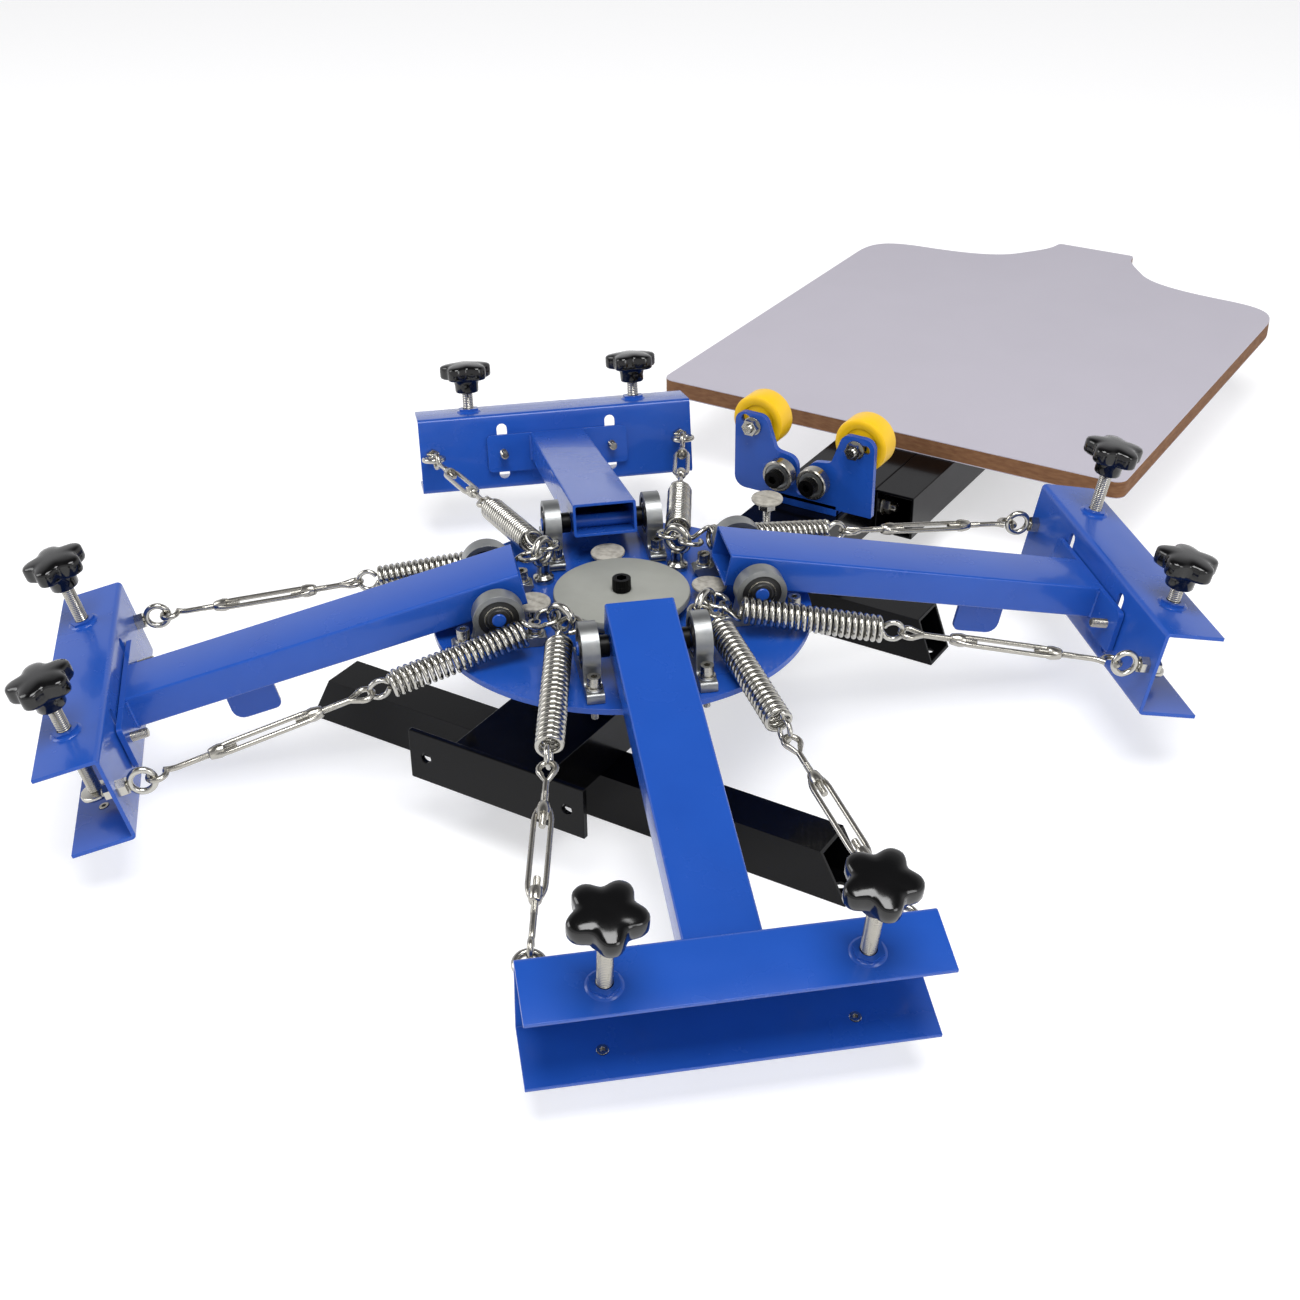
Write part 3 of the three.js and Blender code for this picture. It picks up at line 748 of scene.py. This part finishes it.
casting, bosses = block_casting()
seal, bright_lip = block_bearing()
cap_screw = moved(socket_head(4.6, 6.2, 2.4), lift(2.2))
for arm in ARMS:
    fixings = []
    for letter, side in (("a", -1), ("b", 1)):
        start = BLOCK["near"] if side > 0 else -BLOCK["far"]
        spot = level_frame(arm) @ Matrix.Translation((0, start, 0))
        name = f"pillow_block_{arm}{letter}"
        made(f"{name}_casting", moved(joined(casting, bosses), spot), zinc_casting,
             "turntable_body", "cast_grey", [name], edge=1.0)
        made(f"{name}_seal", moved(seal, spot), seal_rubber, "turntable_body", "black_steel")
        made(f"{name}_lip", moved(bright_lip, spot), stainless, "turntable_body", "bright_steel")
        shoulder = BLOCK["bottom"] + BLOCK["base"] + 1.4
        for x in EARS:
            on_ear = spot @ Matrix.Translation((x, 6, shoulder))
            under = spot @ Matrix.Translation((x, 6, BLOCK["bottom"] - 4.8))
            fixings += [
                stacked(on_ear, (washer(5.8, 1.0, 2.6), 0), (cap_screw, 0),
                        (washer(4.5, 1.1, 2.6), 1.05)),
                stacked(under, (hexagon_nut(8, 4, 2.4), -4),
                        (threaded(2.5, 0.8, -11, 0, 14), 0))]
    made(f"block_screws_{arm}", joined(*fixings), stainless, "turntable_body", "bright_steel",
         edge=0.25)

# ---------------------------------------------------------------- arms
# Rectangular steel tube with a round cross shaft through its inner end, a plate welded over
# its outer end and a tongue below. All is powder coated blue after welding.
TUBE = dict(near=-21.5, far=262, half=23.7, top=18.1, bottom=-6.8, wall=2.0)


def weld_bead(points, size=1.5, pitch=3.2):
    """A run of weld laid in overlapping puddles along a straight joint."""
    start, end = Vector(points[0]), Vector(points[1])
    count = max(2, int((end - start).length / pitch * 6))
    row = []
    swell = []
    for i in range(count + 1):
        row.append(start.lerp(end, i / count))
        swell.append(size * (0.86 + 0.14 * abs(sin(pi * i / 6))))
    corners, faces = bent(row, 1.0, 8)
    for i, reach in enumerate(swell):
        for j in range(8):
            corners[8 * i + j] = row[i] + (corners[8 * i + j] - row[i]) * reach
    return corners, faces


def crosswise(x):
    """Turns an outline's X and Y to an arm's Y and Z, and its depth to X from x outwards."""
    return Matrix(((0, 0, 1, x), (1, 0, 0, 0), (0, 1, 0, 0), (0, 0, 0, 1)))


def arm_weldment():
    """The tube, end plate and tongue, and apart from them the shaft and the runs of weld."""
    near, far, half, top, bottom, wall = TUBE.values()
    outside = filleted([(-half, bottom, 1.8), (half, bottom, 1.8), (half, top, 1.8),
                        (-half, top, 1.8)], 5)
    inside = filleted([(-half + wall, bottom + wall, 1.2), (half - wall, bottom + wall, 1.2),
                       (half - wall, top - wall, 1.2), (-half + wall, top - wall, 1.2)], 3)
    tube = moved(extruded(outside, far - near, [inside]), crosswise(near))
    rim = filleted([(-62, -15, 4), (62, -15, 4), (62, 18, 4), (-62, 18, 4)], 5)
    plate = moved(extruded(rim, 4), crosswise(far))
    flat = Matrix(((1, 0, 0, 0), (0, 0, 1, -1.75), (0, 1, 0, 0), (0, 0, 0, 1)))
    tongue = moved(extruded(filleted([(168, bottom + 0.4, 0), (168, -38, 5), (203, -38, 9),
                                      (203, bottom + 0.4, 0)], 5), 3.5), flat)
    rod = turned([(0, -45.9), (4.3, -45.9), (4.9, -45.3), (4.9, 45.3), (4.3, 45.9), (0, 45.9)], 40)
    shaft = moved(rod, Matrix.Rotation(pi / 2, 4, "X"))
    toe = far - 0.2
    beads = [weld_bead([(toe, y, bottom + 1), (toe, y, top - 2)]) for y in (-half, half)]
    beads.append(weld_bead([(toe, -half + 2, bottom), (toe, half - 2, bottom)]))
    beads += [weld_bead([(170, y, bottom), (201, y, bottom)], 1.2) for y in (-1.8, 1.8)]
    return joined(tube, plate, tongue), joined(shaft, *beads)


def spacer(side):
    """Turned steel spacer that centres the tube between its blocks."""
    ends = (TUBE["half"] + 0.4, BLOCK["near"] - 1.2)
    length = ends[1] - ends[0]
    sleeve = turned([(5.05, 0), (7.2, 0), (7.6, 0.4), (7.6, length - 0.4), (7.2, length),
                     (5.05, length), (5.05, 0)], 32)
    return moved(sleeve, facing((0, side, 0), (0, side * ends[0], 0)))


plates, round_work = arm_weldment()
for arm in ARMS:
    body = f"arm_body_{arm}"
    place = arm_frame(arm)
    made(f"arm_{arm}_tube", moved(plates, place), blue_powder, body, "blue_paint",
         [f"arm_{arm}"], edge=0.5)
    made(f"arm_{arm}_shaft_and_welds", moved(round_work, place), blue_powder, body, "blue_paint")
    made(f"arm_{arm}_spacers", moved(joined(spacer(-1), spacer(1)), place), black_oxide, body,
         "black_steel")

# ---------------------------------------------------------------- frame clamps
# A channel folded from 2.8 mm steel plate grips the end rail of a printing frame. Two slots
# in its web let it be set square, and two welded collars guide the clamp screws.
CLAMP = dict(u=266.8, half=120.9, top=35.6, bottom=-30.6, depth=44.5, sheet=2.8)
COLLAR = dict(u=292, v=74)
BOLT_V = 48
EYE = dict(u=250, v=110, w=4, radius=8.3, wire=2.3)


def upended(y):
    """Stands an outline up, so that its Y becomes Z and its depth runs from y towards -Y."""
    return Matrix(((1, 0, 0, 0), (0, 0, -1, y), (0, 1, 0, 0), (0, 0, 0, 1)))


def folded_channel():
    """The channel across the arm, and the shapes that cut its slots and holes."""
    u, half, top, bottom, depth, gauge = CLAMP.values()
    outer, inner = 3.6, 0.8
    edge = u + depth
    profile = filleted([
        (edge, bottom, 0.4), (edge, bottom + gauge, 0.4), (u + gauge, bottom + gauge, inner),
        (u + gauge, top - gauge, inner), (edge, top - gauge, 0.4), (edge, top, 0.4),
        (u, top, outer), (u, bottom, outer)], 5)
    channel = moved(extruded(profile, 2 * half), upended(half))
    tools = []
    for side in (-1, 1):
        left, right = side * BOLT_V - 4.5, side * BOLT_V + 4.5
        slot = filleted([(left, -22, 4.4), (right, -22, 4.4), (right, 27, 4.4), (left, 27, 4.4)], 6)
        tools.append(moved(extruded(slot, gauge + 2), crosswise(u - 1)))
        spot = (COLLAR["u"], side * COLLAR["v"])
        tools += [moved(extruded(circle(5.5, *spot), gauge + 2), lift(top - gauge - 1)),
                  moved(extruded(circle(3.6, *spot, 24), gauge + 2), lift(bottom - 1))]
    return channel, joined(*tools)


def at_both_screws(shape, height):
    """Two copies of a shape, at that height on the lines of the clamp screws."""
    return joined(*[moved(shape, Matrix.Translation((COLLAR["u"], side * COLLAR["v"], height)))
                    for side in (-1, 1)])


def grub_screws():
    """Hexagon-socket set screws in the lower flange, one below each clamp screw."""
    return at_both_screws(socket_head(3.4, CLAMP["sheet"] + 0.3, 1.7), CLAMP["bottom"] + 0.1)


def weld_collars():
    """Hexagon nuts sunk in the flange, with a low fillet of weld round the foot of each."""
    hexagon = moved(hexagon_nut(16.4, 4, 5.2), lift(-1))
    weld = turned([(5.3, -0.6), (10.9, -0.6), (11, 0.05), (10, 1.0), (8.4, 1.5), (5.3, 1.5),
                   (5.3, -0.6)], 40)
    return at_both_screws(joined(hexagon, weld), CLAMP["top"])


def eye_bolt(side, upright):
    """An eye bolt through the web, with a nut on the web's near face, and a washer and a nut
    on its far one."""
    ring = [(x, y, 0) for x, y in circle(EYE["radius"], sides=36)]
    eye = bent(ring, EYE["wire"], 14, closed=True)
    if upright:
        eye = moved(eye, Matrix.Rotation(pi / 2, 4, "X"))
    web = CLAMP["u"] - EYE["u"]
    back = web + CLAMP["sheet"]
    rod = stacked(Matrix.Rotation(pi / 2, 4, "Y"),
                  (threaded(3.0, 1.0, EYE["radius"] + 1.2, back + 8, 16), 0),
                  (hexagon_nut(11, 6.4, 2.9), web - 6.5), (washer(6.5, 1.2, 3.0), back + 0.1),
                  (hexagon_nut(10, 4.6, 2.9), back + 1.3))
    return moved(joined(eye, rod), Matrix.Translation((EYE["u"], side * EYE["v"], EYE["w"])))


def plate_bolts():
    """Two hexagon bolts that hold the clamp to the arm's end plate. Their heads are in the
    channel, and their ends stand out of the plate towards the hub."""
    along = Matrix.Rotation(pi / 2, 4, "Y")
    parts = []
    for side in (-1, 1):
        spot = Matrix.Translation((TUBE["far"], side * BOLT_V, 2)) @ along
        inside = CLAMP["u"] + CLAMP["sheet"] - TUBE["far"]
        parts.append(stacked(
            spot, (threaded(3.6, 1.0, -11.5, inside, 18), 0),
            (turned([(0, -12.2), (2.6, -12.2), (3.2, -11.4), (0, -11.4)], 18), 0),
            (washer(8, 1.4, 3.5), inside + 0.1), (hexagon_head(11, 4.6), inside + 1.5)))
    return joined(*parts)


channel, channel_cuts = folded_channel()
collars = weld_collars()
bolts = plate_bolts()
grubs = grub_screws()
for arm in ARMS:
    body = f"arm_body_{arm}"
    place = arm_frame(arm)
    name = f"frame_clamp_{arm}"
    made(f"{name}_channel", moved(channel, place), blue_powder, body, "blue_paint", [name],
         edge=0.35, cuts=moved(channel_cuts, place))
    made(f"{name}_collars", moved(collars, place), blue_powder, body, "blue_paint")
    upright = arm % 2 == 0
    eyes = joined(eye_bolt(-1, upright), eye_bolt(1, upright))
    made(f"{name}_eye_bolts", moved(eyes, place), bright_zinc, body, "chrome_steel", edge=0.25)
    made(f"{name}_bolts", moved(bolts, place), stainless, body, "bright_steel", edge=0.35)
    made(f"{name}_grub_screws", moved(grubs, place), stainless, body, "bright_steel", edge=0.2)

# ---------------------------------------------------------------- clamp screws
# A moulded five-lobed knob on a stainless M10 stud. The stud pushes a loose steel disc down
# on the printing frame's rail.
DISC_THICKNESS = 3.5
LOBES = 5
HOLLOW_SHAPE = 2.6
KNOB_REACH = {"1a": 70.5, "1b": 68, "2a": 85, "2b": 99, "3a": 68, "3b": 68, "4a": 90, "4b": 89}


def phenolic():
    """Compression-moulded phenolic: a deep black that takes a wet-looking gloss from the
    mould, with a slight ripple."""
    material, tree = fresh("black_phenolic")
    return surface(material, tree, {
        "Base Color": linear("#060606"), "IOR": 1.5,
        "Roughness": between(tree, pattern(tree, 10, 6.0), 0.08, 0.20),
    }, (pattern(tree, 6, 2.0), 0.10, 0.4))


def star_knob(sides=80):
    """A five-lobed knob about Z. Its rows give a radius, how far the lobes stand out and a
    height, from the top round the rim to the foot of the hub."""
    rows = [(4.5, 0, 7.6), (9, 0.3, 7.4), (13, 1.0, 6.9), (16, 1.9, 6.2), (18.2, 2.6, 5.4),
            (19.4, 2.9, 4.5), (19.9, 3.0, 3.2), (20, 3.0, -0.5), (19.9, 3.0, -4.2),
            (19.3, 2.9, -5.6), (17.8, 2.4, -6.5), (14.6, 1.4, -7.0), (11.8, 0.4, -7.5),
            (11.0, 0, -9.0), (10.4, 0, -12), (10.2, 0, -17.4), (9.5, 0, -18.4), (5.2, 0, -18.5)]
    corners = [Vector((0, 0, 7.6))]
    for radius, lobe, height in rows:
        for i in range(sides):
            angle = 2 * pi * i / sides
            hollow = abs(sin(LOBES / 2 * angle)) ** HOLLOW_SHAPE
            reach = radius + lobe * (1 - 2 * hollow)
            corners.append(Vector((reach * cos(angle), reach * sin(angle), height)))
    corners.append(Vector((0, 0, rows[-1][2])))
    faces = []
    for i in range(sides):
        j = (i + 1) % sides
        faces.append([0, 1 + i, 1 + j])
        last = 1 + (len(rows) - 1) * sides
        faces.append([len(corners) - 1, last + j, last + i])
        for row in range(len(rows) - 1):
            a, b = 1 + row * sides, 1 + (row + 1) * sides
            faces.append([a + i, a + j, b + j, b + i])
    return corners, faces


black_phenolic = phenolic()
knob = star_knob()
press_disc = turned([(0, -DISC_THICKNESS), (9.8, -DISC_THICKNESS), (10.8, -3), (11, -2.2),
                     (11, -1.3), (10.6, -0.4), (9.8, 0), (6.4, 0), (5.8, 0.25), (0, 0.28)], 48)
for arm in ARMS:
    for letter in "ab":
        name = f"{arm}{letter}"
        low_corner, high_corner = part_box(f"pressure_disc_{name}")
        middle = (low_corner + high_corner) / 2 / MM
        top = middle + Vector(joints[f"screw_turn_{name}"]["axis"]) * DISC_THICKNESS / 2
        place = Matrix.Translation(top) @ arm_frame(arm).to_3x3().to_4x4()
        reach = KNOB_REACH[name]
        stud = threaded(4.9, 1.5, 0.3, reach - 17, 24)
        body = f"screw_body_{name}"
        made(f"knob_{name}", moved(knob, place @ lift(reach)), black_phenolic, body,
             "black_plastic", [f"clamp_screw_{name}"], crease=70)
        made(f"clamp_stud_{name}", moved(stud, place), stainless, body, "bright_steel", crease=75)
        made(f"press_disc_{name}", moved(press_disc, place), bright_zinc, f"press_body_{name}",
             "bright_steel", [f"pressure_disc_{name}"])

# ---------------------------------------------------------------- tension units
# An extension spring wound from bright wire, hooked to a ring bolt on the turntable, and an
# open turnbuckle that hooks to the clamp's eye bolt. Together they hold the arm up or down.
SPRING = dict(start=24, end=126, radius=7.9, wire=1.85, coils=22)
BUCKLE = dict(start=178, end=247)


def spring(ring_side):
    """Helix along Z with a loop at each end. The near loop takes the ring bolt's side."""
    start, end, radius, wire, coils = SPRING.values()
    steps = 20
    aim = (Vector((0, 0, start)) - ring_side).normalized()
    lateral = (ring_side - aim * ring_side.dot(aim)).normalized()
    middle = ring_side + aim * (radius - wire - RING["wire"])
    path = []
    for i in range(25):
        angle = radians(20 + 305 * i / 24)
        path.append(middle + aim * radius * cos(angle) + lateral * radius * sin(angle))
    first = atan2(path[-1].y, path[-1].x)
    entry = path[-1].copy()
    for i in range(1, 8):
        t = i / 8
        angle = first + t * pi / 2
        out = Vector((radius * cos(angle), radius * sin(angle), start + wire))
        path.append(entry.lerp(out, t * t * (3 - 2 * t)))
    turn = first + pi / 2
    total = coils * steps
    for i in range(total + 1):
        angle = turn + 2 * pi * coils * i / total
        height = start + wire + (end - start - 2 * wire) * i / total
        path.append(Vector((radius * cos(angle), radius * sin(angle), height)))
    last = turn + 2 * pi * coils
    loop_radius = 7.0
    away, ahead = Vector((cos(last), sin(last), 0)), Vector((0, 0, 1))
    centre = Vector((0, 0, end + loop_radius - 0.5))
    tail = []
    for i in range(27):
        angle = radians(-70 + 320 * i / 26)
        tail.append(centre + away * loop_radius * cos(angle) + ahead * loop_radius * sin(angle))
    path += [path[-1].lerp(tail[0], t / 4) for t in range(1, 4)]
    return bent(path + tail, wire, 9), away


def turnbuckle(length, away, hook_side):
    """Eye rod, open body and hook rod, along Z. The eye stands across the spring's loop."""
    across = away.cross(Vector((0, 0, 1)))
    eye_at, eye_radius, rod = SPRING["end"] + 17.5, 5.6, 2.1
    ring = [Vector((0, 0, eye_at)) + across * eye_radius * sin(radians(a))
            - Vector((0, 0, 1)) * eye_radius * cos(radians(a)) for a in range(-130, 131, 10)]
    ring.insert(0, Vector((0, 0, eye_at + 2.1 * eye_radius)))
    start, end = BUCKLE["start"], BUCKLE["end"]
    parts = [bent(ring, rod * 0.95, 12, closed=True)]
    parts.append(turned([(0, eye_at + 1.8 * eye_radius), (rod, eye_at + 1.9 * eye_radius),
                         (rod, start - 10), (rod, start + 6), (0, start + 6)], 20))
    parts.append(threaded(rod + 0.25, 0.9, start - 14, start + 14, 14))
    parts.append(threaded(rod + 0.25, 0.9, end - 14, end + 14, 14))
    flat = Vector((0, 1, 0)) if abs(away.x) > abs(away.y) else Vector((1, 0, 0))
    for side in (-1, 1):
        rail = [Vector((0, 0, height)) + flat * side * out for height, out in (
            (start - 2, 2.2), (start + 1, 3.8), (start + 5, 5.0), (start + 9, 5.4), (end - 9, 5.4),
            (end - 5, 5.0), (end - 1, 3.8), (end + 2, 2.2))]
        parts.append(bent(rail, 1.8, 12))
    for low_end, high_end in ((start - 5, start + 5), (end + 5, end - 5)):
        step = (high_end - low_end) / 10
        parts.append(turned([(0, low_end), (3.4, low_end), (4.0, low_end + step),
                             (4.6, low_end + 4 * step), (5.0, low_end + 7 * step),
                             (4.6, high_end), (0, high_end)], 12))
    hook_radius, hook_at = 6.0, length - EYE["radius"] + EYE["wire"] + 2.1 - 6.0
    hook = [Vector((0, 0, end + 12)), Vector((0, 0, hook_at - hook_radius - 7))]
    hook.append(Vector((0, 0, hook_at - hook_radius - 3)) - hook_side * 1.0)
    for i in range(23):
        angle = radians(-120 + 285 * i / 22)
        hook.append(Vector((0, 0, hook_at)) + hook_side * hook_radius * cos(angle)
                    + Vector((0, 0, 1)) * hook_radius * sin(angle))
    parts.append(bent(hook, rod, 12))
    return joined(*parts)


for arm in ARMS:
    level = level_frame(arm)
    droop = arm_frame(arm)
    reach = RING["circle"] * sqrt(0.5)
    for letter, side in (("a", -1), ("b", 1)):
        ring_at = level @ Vector((reach - PIVOT[0], side * reach, RING["height"] - PIVOT[1]))
        eye_at = droop @ Vector((EYE["u"], side * EYE["v"], EYE["w"]))
        along = eye_at - ring_at
        place = facing(along, ring_at)
        back = place.inverted()
        tangent = level.to_3x3() @ Vector((1, -side, 0)).normalized()
        ring_side = back.to_3x3() @ (tangent * RING["radius"])
        eye_normal = Vector((0, 1, 0)) if arm % 2 == 0 else Vector((0, 0, 1))
        hook_side = back.to_3x3() @ droop.to_3x3() @ eye_normal
        hook_side.z = 0
        name = f"{arm}{letter}"
        coil, away = spring(ring_side)
        made(f"spring_{name}", moved(coil, place), bright_zinc, f"tension_body_{name}",
             "chrome_steel", [f"tension_unit_{name}"], crease=80)
        buckle = turnbuckle(along.length, away, hook_side.normalized())
        made(f"turnbuckle_{name}", moved(buckle, place), stainless, f"tension_body_{name}",
             "chrome_steel", crease=60)

# ---------------------------------------------------------------- registration gate
# A blue plate stands across the beam. Each arm's tube drops between two yellow rollers, and
# its tongue between two ball bearings, so that every colour prints in the same place.
GATE = dict(y=351, thickness=5, half=64, bottom=83.5, top=152.5)
ROLLER = dict(x=47.4, z=141.8, radius=23, width=20)
BEARING = dict(x=15.6, z=109, radius=13.5, width=10)


def brick(x, y, z):
    outline = [(x[0], y[0]), (x[1], y[0]), (x[1], y[1]), (x[0], y[1])]
    return moved(extruded(outline, z[1] - z[0]), lift(z[0]))


def roller_yellow():
    """Cast polyurethane, a warm even yellow with a satin skin from the mould. The real rollers
    let a little light in, which this opaque shader leaves out."""
    material, tree = fresh("yellow_polyurethane")
    cloud = pattern(tree, 12, 3.0)
    return surface(material, tree, {
        "Base Color": blend(tree, cloud, "#E8BC0A", "#E2B008"), "Roughness": 0.38, "IOR": 1.5,
    }, (cloud, 0.1, 0.5))


def gate_outline():
    half, bottom, top = GATE["half"], GATE["bottom"], GATE["top"]
    right = [(5, bottom + 6, 3), (5, 121.5, 10), (25.5, 124.5, 6), (35.5, top, 9), (half, top, 9)]
    left = [(-x, y, r) for x, y, r in reversed(right)]
    return filleted(right + [(half, bottom, 1.2), (-half, bottom, 10)] + left, 6)


yellow_urethane = roller_yellow()
stand = upended(GATE["y"] + GATE["thickness"])


def bolt_slot(side, slope):
    """A round-ended slot that runs outwards from a roller's bolt at a slope in degrees."""
    length, radius = 8.5, 4.2
    turn = radians(slope)
    rim = []
    for centre, first in (((0, 0), 90), ((length, 0), -90)):
        rim += [(centre[0] + radius * cos(radians(first + a)), radius * sin(radians(first + a)))
                for a in range(0, 181, 20)]
    return [(side * (ROLLER["x"] + x * cos(turn) - y * sin(turn)),
             ROLLER["z"] + x * sin(turn) + y * cos(turn)) for x, y in rim]


slots = [bolt_slot(-1, 34), bolt_slot(1, 8)]
gate_sheet = moved(extruded(gate_outline(), GATE["thickness"], slots), stand)
gate_foot = [brick((-32, 32), (GATE["y"], GATE["y"] + GATE["thickness"]), (BEAM_TOP, 86.5)),
             brick((-32, 32), (GATE["y"] + 1, GATE["y"] + 26), (BEAM_TOP, BEAM_TOP + 4))]
made("gate_plate_steel", joined(gate_sheet, *gate_foot), blue_powder, "base", "blue_paint",
     ["gate_plate"], edge=0.6)
for number, side in ((1, -1), (2, 1)):
    front = (side * ROLLER["x"], GATE["y"], ROLLER["z"])
    hub_at = facing((0, 1, 0), front)
    shift = lift(GATE["thickness"] + 3)
    rim, width = ROLLER["radius"], ROLLER["width"]
    tyre = turned([(14.6, 1.2), (18.2, 0.2), (rim - 1.6, 0), (rim - 0.3, 0.8), (rim, 2.0),
                   (rim, width - 2), (rim - 0.3, width - 0.8), (rim - 1.6, width),
                   (18.2, width - 0.2), (14.6, width - 1.2), (14.0, width - 2.4),
                   (5.8, width - 2.4), (5.8, 2.4), (14.0, 2.4), (14.6, 1.2)], 72)
    made(f"gate_roller_{number}_wheel", moved(tyre, hub_at @ shift), yellow_urethane,
         f"roller_body_{number}", "yellow_plastic", [f"gate_roller_{number}"])
    hub_sleeve = turned([(4.5, 0), (6.2, 0), (6.2, width), (4.5, width), (4.5, 0)], 32)
    made(f"gate_roller_{number}_hub", moved(hub_sleeve, hub_at @ shift), bright_zinc,
         f"roller_body_{number}", "bright_steel")
    bolt = stacked(
        hub_at, (washer(8, 1.5, 4), -1.6), (hexagon_nut(12.5, 5.6, 3.9), -7.2),
        (threaded(3.9, 1.2, -10, 8, 18), 0),
        (turned([(0, 6), (4, 6), (4, 29.5), (0, 29.5)], 24), 0),
        (washer(7.5, 1.2, 4), 28.3), (hexagon_head(12.5, 4), 29.5))
    made(f"gate_roller_bolt_{number}", bolt, bright_zinc, "base", "chrome_steel",
         edge=0.35)

    face = GATE["y"] - 6 - BEARING["width"]
    bore_at = facing((0, 1, 0), (side * BEARING["x"], face, BEARING["z"]))
    r, w = BEARING["radius"], BEARING["width"]
    race = joined(
        turned([(10.6, 0.7), (11, 0), (r - 0.8, 0), (r, 0.8), (r, w - 0.8), (r - 0.8, w), (11, w),
                (10.6, w - 0.7), (10.6, 0.7)], 56),
        turned([(5.2, 0), (7.2, 0), (7.5, 0.7), (7.5, w - 0.7), (7.2, w), (5.2, w), (5.2, 0)], 48))
    shields = turned([(7.4, 0.5), (7.9, 0.3), (10.3, 0.5), (10.7, 0.9), (10.7, w - 0.9),
                      (10.3, w - 0.5), (7.9, w - 0.3), (7.4, w - 0.5), (7.4, 0.5)], 48)
    made(f"gate_bearing_{number}_races", moved(race, bore_at), stainless, f"bearing_body_{number}",
         "bright_steel", [f"gate_bearing_{number}"])
    made(f"gate_bearing_{number}_shields", moved(shields, bore_at), zinc_casting,
         f"bearing_body_{number}", "bright_steel")
    head_at = bore_at @ Matrix.Rotation(pi, 4, "X") @ lift(0.3)
    screw = [moved(socket_head(7.5, 7.6, 3.6, 26), head_at),
             moved(turned([(0, -1), (5, -1), (5, 21), (0, 21)], 28), bore_at),
             moved(washer(7.4, 5.4, 5), bore_at @ lift(w + 0.3))]
    made(f"gate_bearing_screw_{number}", joined(*screw), black_oxide, "base", "black_steel",
         edge=0.3, crease=50)
